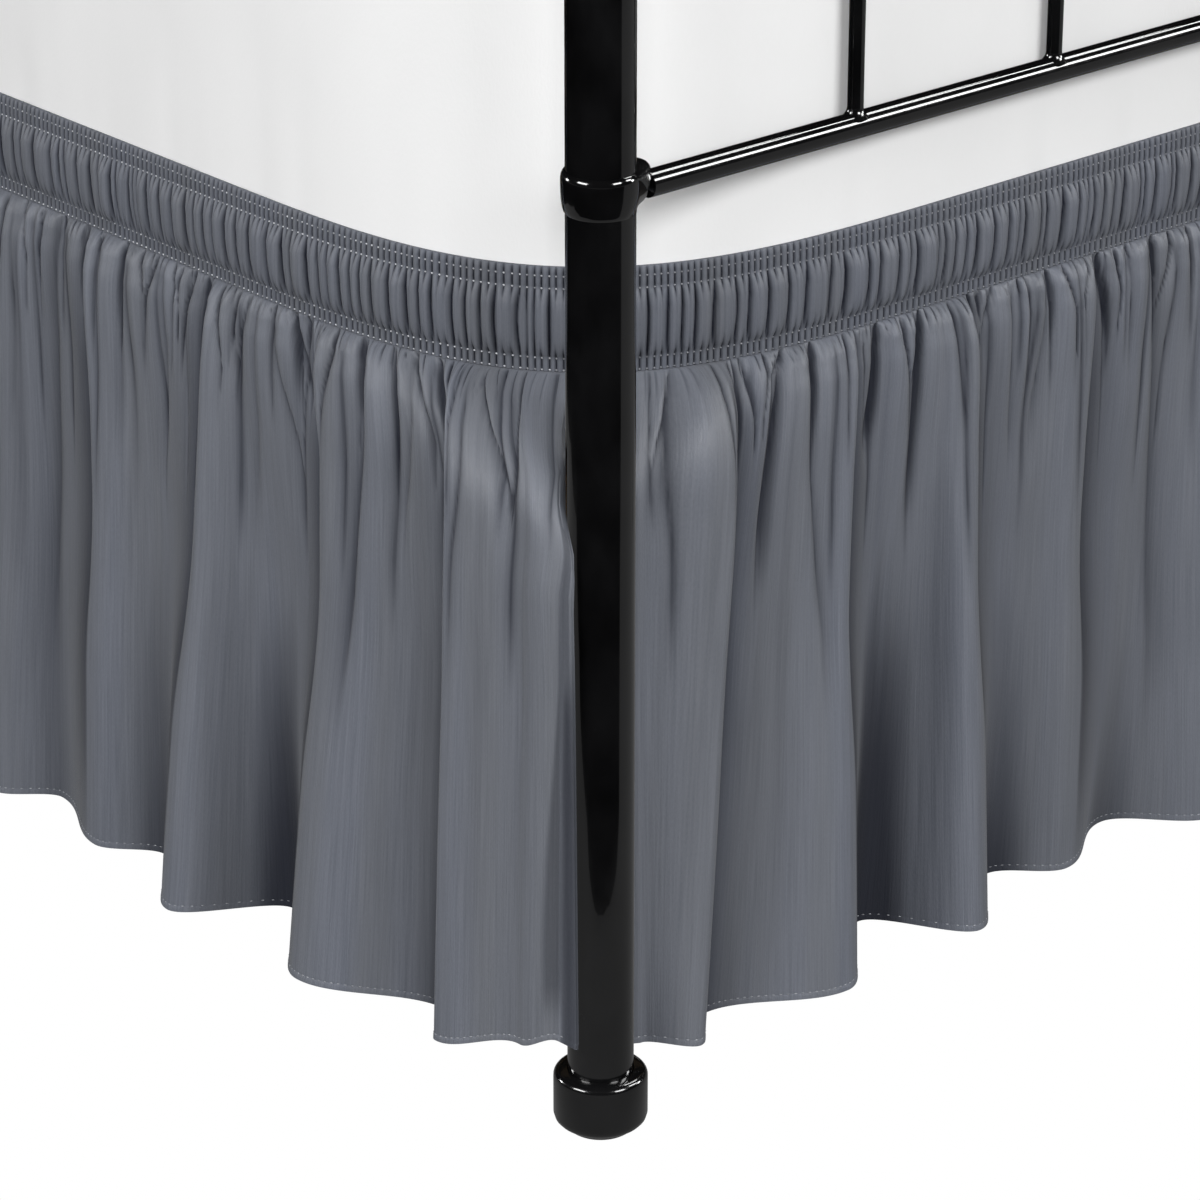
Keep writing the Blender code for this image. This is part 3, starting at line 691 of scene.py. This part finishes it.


# main grooves, in millimetres: (drop, at) down the groove; its depth; how quickly it
# climbs on the post's side and on the other one; the drop at which it has died away
mainGrooves = {
    "Left": (
        (((0, 88), (20, 82), (360, 82)), 8.0, 2.2, 14, 260),
        (((0, 197), (70, 188), (360, 186)), 8.5, 2.4, 16, 260),
        (((0, 292), (80, 290), (360, 296)), 8.5, 2.4, 18, 260),
        (((0, 396), (100, 390), (360, 388)), 6.5, 2.2, 15, 260),
        (((0, 147), (50, 149), (100, 153), (200, 158)), 5.8, 3, 9, 240),
        (((0, 218), (40, 200), (64, 190)), 4.5, 2, 3, 75),
        (((0, 112), (30, 113), (80, 121)), 4, 3, 6, 120), (((0, 52), (30, 40), (50, 34)), 4.5, 2, 3, 65),
        (((0, 22), (30, 28), (50, 33)), 4, 2, 3, 85), (((0, 246), (70, 247), (130, 253)), 3.4, 4, 7, 160),
        (((0, 268), (40, 263)), 3, 2.2, 4, 60), (((0, 330), (50, 327), (120, 336)), 4, 3.2, 7, 150),
        (((0, 362), (100, 363)), 3.6, 3, 6, 140), (((0, 464), (200, 462)), 3.6, 4, 10, 280),
        (((0, 428), (70, 432), (200, 443), (300, 447)), 5, 5, 12, 360),
        (((50, 20), (300, 26)), 1.6, 6, 6, 340), (((50, 48), (300, 50)), 2, 7, 7, 400),
        (((50, 108), (300, 118)), 2.2, 7, 7, 400), (((50, 212), (300, 205)), 2.2, 8, 8, 360),
    ),
    "Foot": (
        (((0, 62), (100, 61), (360, 60)), 7.0, 2.2, 12, 260),
        (((0, 160), (100, 159), (360, 161)), 7.5, 2.2, 14, 260),
        (((0, 264), (100, 263), (360, 265)), 8.5, 2.4, 16, 260),
        (((0, 356), (100, 353), (360, 352)), 8.0, 2.4, 18, 260),
        (((0, 32), (50, 31)), 4.2, 1.6, 2.2, 80), (((0, 96), (30, 91), (80, 88)), 4.2, 3, 6, 150),
        (((0, 121), (70, 123), (160, 135)), 4.6, 3.2, 7, 220),
        (((0, 186), (40, 180), (70, 176)), 4, 2.2, 4, 85),
        (((0, 168), (40, 171), (70, 175)), 3.5, 2.2, 4, 85), (((0, 217), (80, 219)), 4.5, 3, 6, 150),
        (((0, 294), (90, 297)), 4.2, 2.6, 5, 130), (((0, 319), (90, 312)), 4, 2.6, 5, 120),
        (((0, 386), (70, 388)), 3.8, 2.4, 5, 90), (((0, 440), (100, 438)), 3.6, 3, 7, 160),
        (((0, 405), (150, 416), (250, 420)), 4.8, 3.4, 9, 340),
        (((50, 42), (300, 38)), 1.6, 6, 6, 400), (((50, 104), (300, 108)), 2, 7, 7, 400),
        (((50, 192), (300, 196)), 2.2, 8, 8, 360), (((50, 236), (300, 232)), 2, 8, 8, 400),
    ),
}


grooveLook = {
    "widening": 0.16,             # drop at which a groove is twice as wide
    "rise": 0.004, "fadeFrom": 0.55, "shadeReach": 0.35, "shadeMost": 0.8, "fullDepth": 0.006,
    # a groove at least this deep has broad painted shade on its far side: its width and how that grows
    # downwards, how near the groove's line it starts, and by drop how dark it is
    "mainDepth": 0.0064, "sideWidth": (0.014, 0.035), "sideStart": 0.0025,
    "sideShade": ((0.0, 0.1), (0.03, 0.45), (0.08, 0.7), (0.22, 0.7), (0.3, 0.5), (0.36, 0.1)),
}


def grooveAt(row, at, drop):
    # depth of one main groove, and painted shade by how deep in it a place lies
    look = grooveLook
    depth, near, far, last = (part / 1000 for part in row[1:])
    offset = at - tableAt(drop, np.array(row[0]) / 1000)
    reach = np.where(offset < 0, near, far) * (1 + drop / look["widening"])
    amount = 1 - math.exp(-drop / look["rise"])
    amount *= 1 - float(smooth(drop, look["fadeFrom"] * last, last))
    shade = np.exp(-np.clip(np.abs(offset) / (look["shadeReach"] * reach), 0, 20)) * amount
    shade *= look["shadeMost"] * min(depth / look["fullDepth"], 1.0) ** 1.5
    if depth >= look["mainDepth"]:
        width, growth = look["sideWidth"]
        broad = np.exp(-(np.clip(offset, 0, None) / (width + growth * drop)) ** 1.5)
        broad = broad * np.clip(1 + offset / look["sideStart"], 0, 1)
        shade = np.maximum(shade, broad * tableAt(drop, look["sideShade"]))
    return depth * amount * np.exp(-np.abs(offset) / reach), shade


class Panel:
    # one gathered panel, from its free edge at one post to its free edge at the next
    def __init__(self, wall):
        folds, self.seed, self.fine = panels[wall]
        self.wall = wall
        self.length, self.plane, self.otherPlane = walls[wall][3:]
        self.turned = wall in sideWalls
        self.rows = foldRows(folds, self.length, self.seed)
        self.edge = float(self.rows[0, 0])
        self.pleats = [Pleats(look, self.edge, self.length - self.edge, self.seed + 100 + number)
                       for number, look in enumerate(pleatLooks.values())]
        self.topZ = headingLow[2] - ruffle["seamGap"]
        self.drop = self.topZ - ruffle["hem"]

    def pull(self, at):
        near = 1 - (at - self.edge) / ruffle["cornerReach"]
        far = 1 - (self.length - self.edge - at) / ruffle["cornerReach"]
        return np.clip(near, 0, None) ** 2 - np.clip(far, 0, None) ** 2

    def relief(self, at, seamAt, drop):
        # the gathers over the large folds, and painted shade by how deep in a groove each place lies
        relief = tableAt(drop, ruffle["puffTable"])
        shade = np.zeros_like(at)
        for level in np.unique(drop):
            here = drop == level
            for pleats in self.pleats:
                height, groove = pleats.relief(seamAt[here], float(level))
                relief[here] += height
                shade[here] += 0.75 * groove
            for row in mainGrooves.get(self.wall, ()):
                depth, groove = grooveAt(row, at[here], float(level))
                relief[here] -= depth
                shade[here] = np.maximum(shade[here], groove)
        return relief, shade

    def surface(self, at, depth):
        # outer face at places along the hem and depths from 0 at the seam to 1 at the hem, and its painted
        # shade
        turn = np.clip(self.edge - at, 0, None) * (1 - smooth(depth, *ruffle["turnEnd"]))
        at = np.maximum(at, self.edge)
        nose = noseInset - self.otherPlane + ruffle["noseGap"]
        foldOut, growth, lift, slant, tuck = foldAt(self.rows, at)
        topAt = at + self.pull(at) * (nose - self.edge) + tuck
        seamAt = topAt + slant
        fromCorner = np.minimum(seamAt, self.length - seamAt) + self.otherPlane
        topOut = ruffle["tuckIn"] - cornerInset(fromCorner)
        stayOut = (1 - np.clip(depth / ruffle["flareOut"], 0, 1)) ** 2
        inwards = at - self.edge
        fromEdge = np.minimum(inwards, self.length - self.edge - at)
        later = ruffle["edgeFlare"] * np.exp(-fromEdge / ruffle["edgeReach"]) * self.turned
        stayAlong = (1 - np.clip(depth / (ruffle["flareAlong"] + later), 0, 1)) ** 2
        drop = depth * self.drop
        relief, shade = self.relief(at, seamAt, drop)
        least, flat = ruffle["leastRelief"], ruffle["edgeRelief"]
        relief = least + (relief - least) * (flat + (1 - flat) * smooth(fromEdge, 0.0, ruffle["edgeFade"]))
        fromFold = self.drop - drop - ruffle["hemFold"]
        (ridge, ridgeReach), (groove, grooveReach) = ruffle["hemRidge"], ruffle["hemGroove"]
        relief += ridge * (1 - smooth(fromFold, 0.0, ridgeReach))
        relief -= groove * np.exp(-(fromFold / grooveReach) ** 2)
        out = foldOut * depth ** growth + relief
        out = np.where(depth < ruffle["leastOutTo"], np.maximum(out, ruffle["leastOut"]), out)
        out = topOut * stayOut + out + ruffle["turnWay"][0] * turn
        along = at + (topAt - at) * stayAlong + slant * (1 - depth) + ruffle["turnWay"][1] * turn
        if self.turned:
            near = np.exp(-(inwards / ruffle["hugReach"]) ** 2)
            share, hugAlong, hugIn = zip(*ruffle["hug"])
            along = along + near * np.interp(depth, share, hugAlong)
            out = out - near * np.interp(depth, share, hugIn)
            # painted shade in a strip just inside the free edge, beside the post
            width = tableAt(depth, ruffle["strip"])
            strip = smooth(inwards, 0.0006, 0.0016) * (1 - smooth(inwards, 0.8 * width, 1.2 * width))
            strip = strip * smooth(depth, 0.06, 0.13) * smooth(1 - depth, 0.02, 0.1)
            shade = np.maximum(shade, ruffle["stripShade"] * strip)
        z = self.topZ + (ruffle["hem"] + lift - self.topZ) * depth
        point = np.stack([*onWall(self.wall, along, out + self.plane), z], axis=-1)
        return point, np.clip(shade, 0, ruffle["mostShade"])


def hollowShade(wall, points, depth):
    # painted shade by how far each place lies in a hollow: how much of the view along the wall its folds
    # cover
    along, out = (points[..., :2] @ np.array(way) for way in walls[wall][1:3])
    total = 0
    for way in (1, -1):
        most = np.zeros_like(out)
        for shift in ruffle["hollowShifts"]:
            there = np.clip(np.arange(len(out)) + way * shift, 0, len(out) - 1)
            away = np.maximum(np.abs(along[there] - along), 0.0005)
            most = np.maximum(most, np.arctan2(out[there] - out, away))
        total = total + most / (math.pi / 2)
    least = tableAt(depth, ruffle["hollowTable"])
    return ruffle["hollowMost"] * smooth(total, least, least + 0.5)


def ruffleDepths(drop):
    # rows close together under the seam and at the hem, wider apart between
    rows = list(ruffle["seamRows"])
    least, growth, grown = ruffle["rowSpacing"]
    stop, last = ruffle["rowsEnd"]
    while rows[-1] < drop - stop:
        rows.append(rows[-1] + least + growth * min(rows[-1] / grown, 1.0))
    rows = [row for row in rows if row < drop - last]
    rows += [drop - height for height in ruffle["hemRows"]]
    if len(rows) % 2 == 0:
        rows.insert(1, rows[1] / 2)
    return np.array(rows) / drop


def ruffleColumns(panel):
    turnedParts = (1.0, 0.75, 0.5, 0.25, 0.0) if panel.turned else (0.0,)
    columns = [panel.edge - ruffle["turnIn"] * part for part in turnedParts]
    end = panel.length - panel.edge
    while columns[-1] < end - ruffle["coarseStep"]:
        step = ruffle["coarseStep"]
        if panel.fine:
            step = next(width for reach, width in ruffle["columnSteps"] if columns[-1] < reach)
        columns.append(columns[-1] + step)
    return np.array(columns + [end])


def buildRuffle(panel):
    wall = panel.wall
    at, depth = np.meshgrid(ruffleColumns(panel), ruffleDepths(panel.drop), indexing="ij")
    outer, shade = panel.surface(at, depth)
    # painted shade of the hollows joins that of the grooves
    past, below = ruffle["hollowFrom"]
    reached = np.maximum(smooth(at - panel.edge, *past), smooth(depth, *below))
    shade = np.maximum(shade, hollowShade(wall, outer, depth) * reached)
    onward, outward = (np.array([*way, 0.0]) for way in walls[wall][1:3])
    turned = np.clip((panel.edge - at) / 0.003, 0, 1)[..., None]
    behind = onward * turned - outward * (1 - turned)
    inner = (outer + behind * ruffle["thickness"])[:, ::2]
    place = np.stack([at, -depth * panel.drop - heading["rowsBelowTop"][-1]], axis=-1)
    mesh = clothMesh("ruffle" + wall, outer, inner, 2, place, shade, wall in sideWalls)
    piece = addPiece("ruffle" + wall, mesh, skirtSatin, "skirt_cloth", "ruffle_" + wall.lower())
    piece.visible_glossy = False        # the enamel mirrors black card, not the cloth beside it
    print("ruffle" + wall, "built,", len(mesh.polygons), "faces")
    return piece


hemStitch = {"pitch": 0.0034, "size": (0.0021, 0.0006, 0.0005), "lift": 0.0002, "tone": 0.62}


def buildHemStitches(panel):
    wall = panel.wall
    at = np.arange(panel.edge + 0.003, panel.length - panel.edge - 0.003, hemStitch["pitch"])
    depth = np.full(len(at), 1 - ruffle["hemFold"] / panel.drop)
    point = panel.surface(at, depth)[0]
    along = unit(panel.surface(at + 0.001, depth)[0] - point)
    out = unit(np.cross(along, panel.surface(at, depth - 0.004)[0] - point))
    out *= np.sign(out @ np.array([*walls[wall].outward, 0.0]))[:, None]
    tones = np.random.default_rng(panel.seed).uniform(0.5, 1.0, len(at)) * hemStitch["tone"]
    mesh = stitchMesh("hemStitches" + wall, point + out * hemStitch["lift"], along, out,
                      np.tile(hemStitch["size"], (len(at), 1)), tones)
    return addPiece("hemStitches" + wall, mesh, stitchThread, "skirt_cloth")


for wall in panels:
    panel = Panel(wall)
    buildRuffle(panel)
    buildHemStitches(panel)
print("ruffles hung")

# mattress in its white cover
mattressForm = {
    # distance from the lower or upper face, inset of the side there
    "roundEdge": ((0.0, 0.024), (0.003, 0.012), (0.009, 0.0045), (0.016, 0.0012), (0.024, 0.0)),
    "columnStep": 0.006, "rowStart": 0.045, "rowStep": 0.011, "rows": 22,
    "faceShares": (0.93, 0.75, 0.4),      # rings of the lower and upper face
    "wrinkleSeed": 3, "wrinkleDepth": 0.0011, "wrinkleReach": 0.085, "wrinkleApart": (0.012, 0.07),
    # of each wrinkle: half its width, and shares of the depth and of the reach
    "wrinkleDraws": ((0.003, 0.009), (0.2, 1.0), (0.3, 1.0)),
}


def mattressLoop():
    lines = []
    for wall in ("Foot", "Right", "Head", "Left"):
        line = wallPath(wall, mattressForm["columnStep"])
        lines.append((line[::-1] if wall in sideWalls else line)[:-1])
    return np.concatenate(lines)


def buildMattress():
    form = mattressForm
    low, high = mattressLow[2], mattressHigh[2]
    loop = mattressLoop()
    distance = np.append(0, np.cumsum(np.hypot(*np.diff(loop, axis=0).T)))
    ahead = np.roll(loop, -1, axis=0) - np.roll(loop, 1, axis=0)
    normal = unit(np.stack([ahead[:, 1], -ahead[:, 0]], axis=1))
    normal *= np.sign(np.sum(normal * loop, axis=1))[:, None]
    draw = random.Random(form["wrinkleSeed"])
    wrinkles = []
    at = 0.0
    while at < distance[-1]:
        wrinkles.append((at, *(draw.uniform(*span) for span in form["wrinkleDraws"])))
        at += draw.uniform(*form["wrinkleApart"])
    sections = [(low + up, inset) for up, inset in form["roundEdge"]]
    sections += [(low + form["rowStart"] + form["rowStep"] * i, 0.0) for i in range(form["rows"])]
    sections += [(high - down, inset) for down, inset in reversed(form["roundEdge"])]
    rings = []
    for z, inset in sections:
        above = max(z - headingHigh[2], 0.0)
        relief = np.zeros(len(loop))
        for place, half, tall, reach in wrinkles:
            fade = math.exp(-(above / (form["wrinkleReach"] * reach)) ** 2)
            relief += form["wrinkleDepth"] * tall * fade / (1 + ((distance - place) / half) ** 2)
        points = loop - normal * (plan["standOff"] + inset + relief)[:, None]
        rings.append([(x, y, z) for x, y in points])

    def faceRings(ring, z):
        # rings of the flat face inside an outer ring, and its middle
        inner = [[(x * share, y * share, z) for x, y, _ in ring] for share in form["faceShares"]]
        return inner + [[(0, 0, z)]]

    rings = faceRings(rings[0], low)[::-1] + rings + faceRings(rings[-1], high)
    mesh = ringMesh("mattressPad", rings, 60)
    piece = addPiece("mattressPad", mesh, mattressJersey, "mattress_cover", "mattress")
    piece.visible_glossy = False        # the enamel mirrors black card, not the white cover


buildMattress()
print("mattress laid")


# bed frame
def halfSize(node, axis):
    low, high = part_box(node)
    return (high[axis] - low[axis]) / 2


metal = {
    "postRadius": halfSize("post_foot_left", 0), "postSides": 64, "railSides": 32,
    "railZ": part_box("foot_rail_low")[0][2] + halfSize("foot_rail_low", 2),
    "domeHeight": 0.008, "domeSteps": 8,
    "ringRadius": 0.0198, "noseAway": 0.0204, "noseRadius": 0.0092, "collarSides": 96,
    # rounding of the collar's edges beside the post and under or over its nose: inwards, in height
    "collarFoot": ((0.0022, 0.01), (0.015, 0.01)),
    "collarTop": ((0.0022, 0.0048), (0.005, 0.005)),
    "weldFlare": 0.0032, "weldHeight": 0.006,
    "weldSunk": 0.003,            # the weld reaches down round the rail
    "collarBore": 0.0002,         # room round the post
}
capForm = {
    # radius and height up to the drum; heights of its side; height and rounding of its shoulder
    "base": ((0, 0.0), (0.017, 0.0), (0.0178, 0.0006), (0.0184, 0.0018), (0.0204, 0.0028),
             (0.0226, 0.0044), (0.0242, 0.0062)),
    "side": (0.009, 0.0298), "top": 0.0345, "rounding": 0.0042, "roundSteps": 9,
    "lip": (0.0198, 0.0347), "bore": 0.0003, "boreHeights": (0.0348, 0.008),
}
ends = {"foot": (-postY, postHigh[2]), "head": (postY, headPostHigh[2])}
sides = {"left": (-postX, 1), "right": (postX, -1)}


def turned(node, profile, start, direction, count, material=blackEnamel, slotName="black_enamel"):
    # a solid turned about its axis; profile is (radius, distance along the axis) and ends at radius 0
    direction = Vector(direction)
    across = Vector((0, 1, 0)) if direction.z else Vector((0, 0, 1))
    other = direction.cross(across)
    rings = []
    for radius, distance in profile:
        centre = Vector(start) + direction * distance
        angles = [2 * math.pi * i / count for i in range(count if radius else 1)]
        rings.append([centre + (across * math.cos(angle) + other * math.sin(angle)) * radius
                      for angle in angles])
    addPiece(node + "_fine", ringMesh(node + "_fine", rings, 40), material, slotName, node)


def quarterRound(radius, z, inwards, tall, steps):
    # from the side of a turned solid into its top
    turns = [math.pi / 2 * i / steps for i in range(steps)]
    return [(radius - inwards * (1 - math.cos(turn)), z - tall * (1 - math.sin(turn))) for turn in turns]


def buildPost(end, side):
    top = ends[end][1]
    node = f"post_{end}_{side}"
    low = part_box(node)[0][2]
    r = metal["postRadius"]
    dome = quarterRound(r, top, r, metal["domeHeight"], metal["domeSteps"])
    turned(node, [(0, low), (r, low), *dome, (0, top)], (sides[side][0], ends[end][0], 0), (0, 0, 1),
           metal["postSides"])


def buildCap(end, side):
    # moulded foot: a drum with a rounded shoulder over a narrower, tapered base
    form = capForm
    bore = metal["postRadius"] + form["bore"]
    widest = halfSize(f"cap_{end}_{side}", 0)
    profile = [*form["base"], *((widest, z) for z in form["side"])]
    profile += quarterRound(widest, form["top"], form["rounding"], form["rounding"], form["roundSteps"])[1:]
    profile += [form["lip"], *((bore, z) for z in form["boreHeights"]), (0, form["boreHeights"][1])]
    turned(f"cap_{end}_{side}", profile, (sides[side][0], ends[end][0], 0), (0, 0, 1),
           metal["postSides"], footPlastic, "foot_cap")


def collarReach(angle):
    # distance from the post's axis to the side of the collar, a ring drawn out into a round nose
    ring, nose, tip = metal["ringRadius"], metal["noseAway"], metal["noseRadius"]
    angle = abs((angle + math.pi) % (2 * math.pi) - math.pi)
    touch = math.acos((ring - tip) / nose)
    noseAngle = math.atan2(tip * math.sin(touch), nose + tip * math.cos(touch))
    if angle >= touch:
        return ring
    if angle >= noseAngle:
        return ring / math.cos(angle - touch)
    return nose * math.cos(angle) + math.sqrt(tip ** 2 - (nose * math.sin(angle)) ** 2)


def buildCollar(end, side):
    x, facing = sides[side]
    count = metal["collarSides"]
    evenly = [2 * math.pi * i / count for i in range(count)]
    angles = [angle - 0.55 * math.sin(angle) for angle in evenly]      # closer together at the nose
    bore = metal["postRadius"] + metal["collarBore"]
    turns = [math.pi / 2 * i / 5 for i in range(6)]
    rings = []
    for level, way, rounding, order in ((collarLow[2], 1, metal["collarFoot"], turns),
                                        (collarHigh[2], -1, metal["collarTop"], turns[::-1])):
        for turn in order:
            ring = []
            for angle in angles:
                share = max(math.cos(angle), 0.0) ** 1.5
                inwards, tall = (plain + (nose - plain) * share for plain, nose in rounding)
                ring.append((collarReach(angle) - inwards * (1 - math.sin(turn)), angle,
                             level + way * tall * (1 - math.cos(turn))))
            rings.append(ring)
    for level in (collarHigh[2], collarLow[2]):
        rings.append([(bore, angle, level) for angle in angles])
    rings = [[(x + facing * max(r, bore) * math.cos(angle),
               ends[end][0] + max(r, bore) * math.sin(angle), z) for r, angle, z in ring] for ring in rings]
    node = f"collar_{end}_{side}"
    addPiece(node + "_fine", ringMesh(node + "_fine", rings, 40, True), blackEnamel, "black_enamel", node)


def buildRail(end, level):
    node = f"{end}_rail_{level}"
    low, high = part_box(node)
    radius = halfSize(node, 2)
    length = high[0] - low[0]
    flare = 0.0 if level == "low" else metal["weldFlare"]
    start = [(radius + 0.6 * flare, 0), (radius + 0.25 * flare, 0.0012), (radius, 0.0035)]
    finish = [(r, length - along) for r, along in reversed(start)]
    turned(node, [(0, 0), *start, (radius, length / 2), *finish, (0, length)],
           (low[0], ends[end][0], (low[2] + high[2]) / 2), (1, 0, 0), metal["railSides"])


def buildSpindle(end, number):
    node = f"{end}_spindle_{number}"
    low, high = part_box(node)
    tall, flare, sunk = metal["weldHeight"], metal["weldFlare"], metal["weldSunk"]
    length = high[2] - low[2]
    weld = [(halfSize(node, 0) + flare * (1 - i / 5) ** 2, tall * i / 5 - sunk) for i in range(6)]
    top = [(radius, length - z) for radius, z in reversed(weld)]
    turned(node, [(0, -sunk), *weld, *top, (0, length + sunk)],
           ((low[0] + high[0]) / 2, ends[end][0], low[2]), (0, 0, 1), metal["railSides"])


def dressNode(node, material):
    carried = bpy.data.objects[node]
    carried.data.materials.clear()
    carried.data.materials.append(material)


for end in ends:
    for side in sides:
        buildPost(end, side)
        buildCap(end, side)
        buildCollar(end, side)
    for level in ("low", "top"):
        buildRail(end, level)
    for number in range(1, 6):
        buildSpindle(end, number)
for side in sides:
    dressNode("side_rail_" + side, blackEnamel)
for number in range(1, 8):
    dressNode(f"slat_{number}", slatPine)
print("bed frame finished")

# floor, light and camera
cameraLook = {
    "azimuth": math.radians(41.2521),   # to the left of the bed's long axis
    "elevation": math.radians(23.5733),
    "distance": 2.3574, "aimHeight": 0.3032, "aimSideways": -0.0003,
    "lens": 140.19, "sensor": 36.0,
}
stageLook = {
    "floorReach": 20.0, "floorSeen": 1.0, "floorBounce": 0.15, "floorGloss": 0.13,
    "worldSeen": 1.0, "worldLight": 0.26, "worldGloss": 0.005,
    # black card on the floor before the corner, (towards the camera, to its right)
    "card": ((0.282, -0.226), (0.285, -0.1), (0.293, 0.0), (0.285, 0.1), (0.25, 0.2),
             (0.206, 0.295), (0.192, 0.4), (0.227, 0.474), (0.383, 0.844), (0.484, 1.22),
             (0.776, 2.02), (3.0, 8.0), (9.0, 8.0), (9.0, -9.0), (-9.0, -9.0), (-9.0, -2.0),
             (-1.14, -0.66), (-0.46, -1.083), (0.09, -1.045), (0.1, -0.93), (0.145, -0.8),
             (0.2, -0.7), (0.2, -0.6), (0.258, -0.458), (0.307, -0.316)),
    "cardHeight": 0.002, "lampAim": 0.35,
}


def directionAt(azimuth, elevation):
    # a direction seen from the photographed corner: azimuth from the foot end towards the left side
    return Vector((-math.sin(azimuth) * math.cos(elevation), -math.cos(azimuth) * math.cos(elevation),
                   math.sin(elevation)))


def cornerPlace(height, towards=0.0, sideways=0.0):
    # a place by its height, and how far it is from the corner towards the camera and to its right
    right = Vector((math.cos(cameraLook["azimuth"]), -math.sin(cameraLook["azimuth"]), 0.0))
    return (Vector((-postX, -postY, height)) + directionAt(cameraLook["azimuth"], 0.0) * towards
            + right * sideways)


def lookAt(thing, place, target):
    thing.location = place
    thing.rotation_euler = (target - place).to_track_quat("-Z", "Y").to_euler()


def rayStrength(tree, plain, shares):
    # a strength with its own addition for each kind of ray
    path = addNode(tree, "LightPath")
    total = plain
    for ray, share in shares.items():
        part = addMath(tree, "MULTIPLY", path.outputs[f"Is {ray} Ray"], share)
        total = addMath(tree, "ADD", total, part)
    return total


def stageSheet(name, points, material):
    mesh = bpy.data.meshes.new(name)
    mesh.from_pydata(points, [], [list(range(len(points)))])
    mesh.materials.append(material)
    sheet = linkNew(name, mesh)
    return sheet


def buildFloor():
    # white to the camera, grey in the cloth's light and in the enamel's reflections
    material, tree, shader = startMaterial("paleFloor", {
        "Base Color": (0.0, 0.0, 0.0), "Roughness": 0.9, "Specular IOR Level": 0.0,
        "Emission Color": (1.0, 1.0, 1.0),
    })
    feed(tree, shader, {"Emission Strength": rayStrength(tree, 0.0, {
        "Camera": stageLook["floorSeen"], "Diffuse": stageLook["floorBounce"],
        "Glossy": stageLook["floorGloss"]})})
    reach = stageLook["floorReach"]
    stageSheet("floor", [(-reach, -reach, 0), (reach, -reach, 0), (reach, reach, 0), (-reach, reach, 0)],
               material)


def buildCard():
    # seen only in the enamel, it keeps the post's middle black
    material = startMaterial("cardBlack", {
        "Base Color": (0.001, 0.001, 0.001), "Roughness": 1.0, "Specular IOR Level": 0.0,
    })[0]
    card = stageSheet("blackCard", [cornerPlace(stageLook["cardHeight"], *point)
                                    for point in stageLook["card"]], material)
    card.visible_camera = card.visible_diffuse = card.visible_shadow = False


def buildWorld():
    world = bpy.data.worlds.new("studio")
    bpy.context.scene.world = world
    world.use_nodes = True
    light = stageLook["worldLight"]
    strength = rayStrength(world.node_tree, light, {
        "Camera": stageLook["worldSeen"] - light, "Glossy": stageLook["worldGloss"] - light})
    feed(world.node_tree, world.node_tree.nodes["Background"],
         {"Strength": strength, "Color": (1.0, 1.0, 1.0)})


def buildCamera():
    look = cameraLook
    data = bpy.data.cameras.new("camera")
    data.lens = look["lens"]
    data.sensor_width = look["sensor"]
    camera = linkNew("camera", data)
    aim = cornerPlace(look["aimHeight"], 0.0, look["aimSideways"])
    lookAt(camera, aim + directionAt(look["azimuth"], look["elevation"]) * look["distance"], aim)
    bpy.context.scene.camera = camera


# azimuth from the camera's own, positive to the left, and elevation above the floor, in degrees;
# distance; size; power; whether the lamp lights the cloth or shows in the enamel
lights = {
    "leftPanel": (45, 34, 3.0, (1.5, 1.5), 54, "cloth"),
    "rightPanel": (-45, 34, 3.0, (1.5, 1.5), 54, "cloth"),
    "frontPanel": (0, 34, 3.2, (0.8, 0.8), 32, "cloth"),
    "leftBar": (56, 27, 3.0, (1.5, 0.7), 40, "enamel"),
    "rightBar": (-51, 28, 3.0, (1.2, 0.7), 32, "enamel"),
    "farLeftSpot": (110, 10, 2.6, (0.4, 0.4), 10, "enamel"),
    "farRightSpot": (-106, 12, 2.6, (0.4, 0.4), 10, "enamel"),
}
# strips along the low rail: angle round it from the foot side upwards, in degrees
railStrips = {"distance": 1.2, "onward": 1.42, "size": (0.95, 0.34), "power": 11.0, "angles": (36, 91)}


def addLamp(name, size, power, use):
    data = bpy.data.lights.new(name, "AREA")
    data.shape = "RECTANGLE"
    data.size, data.size_y = size
    data.energy = power
    lamp = linkNew(name, data)
    lamp.visible_camera = False
    lamp.visible_glossy = use == "enamel"
    lamp.visible_diffuse = use == "cloth"
    return lamp


def buildLights():
    target = cornerPlace(stageLook["lampAim"])
    for name, (azimuth, elevation, distance, size, power, use) in lights.items():
        away = directionAt(cameraLook["azimuth"] + math.radians(azimuth), math.radians(elevation))
        lookAt(addLamp(name, size, power, use), target + away * distance, target)
    for angle in railStrips["angles"]:
        lamp = addLamp(f"railStrip{angle}", railStrips["size"], railStrips["power"], "enamel")
        turn = math.radians(angle)
        away = Vector((0, -math.cos(turn), math.sin(turn)))
        onRail = Vector((-postX + railStrips["onward"], -postY, metal["railZ"]))
        lamp.location = onRail + away * railStrips["distance"]
        lamp.rotation_euler = (math.radians(90) - turn, 0, 0)


buildFloor()
buildCard()
buildWorld()
buildCamera()
buildLights()
bpy.context.scene.view_settings.view_transform = "Standard"
bpy.context.scene.view_settings.look = "None"
print("stage set")
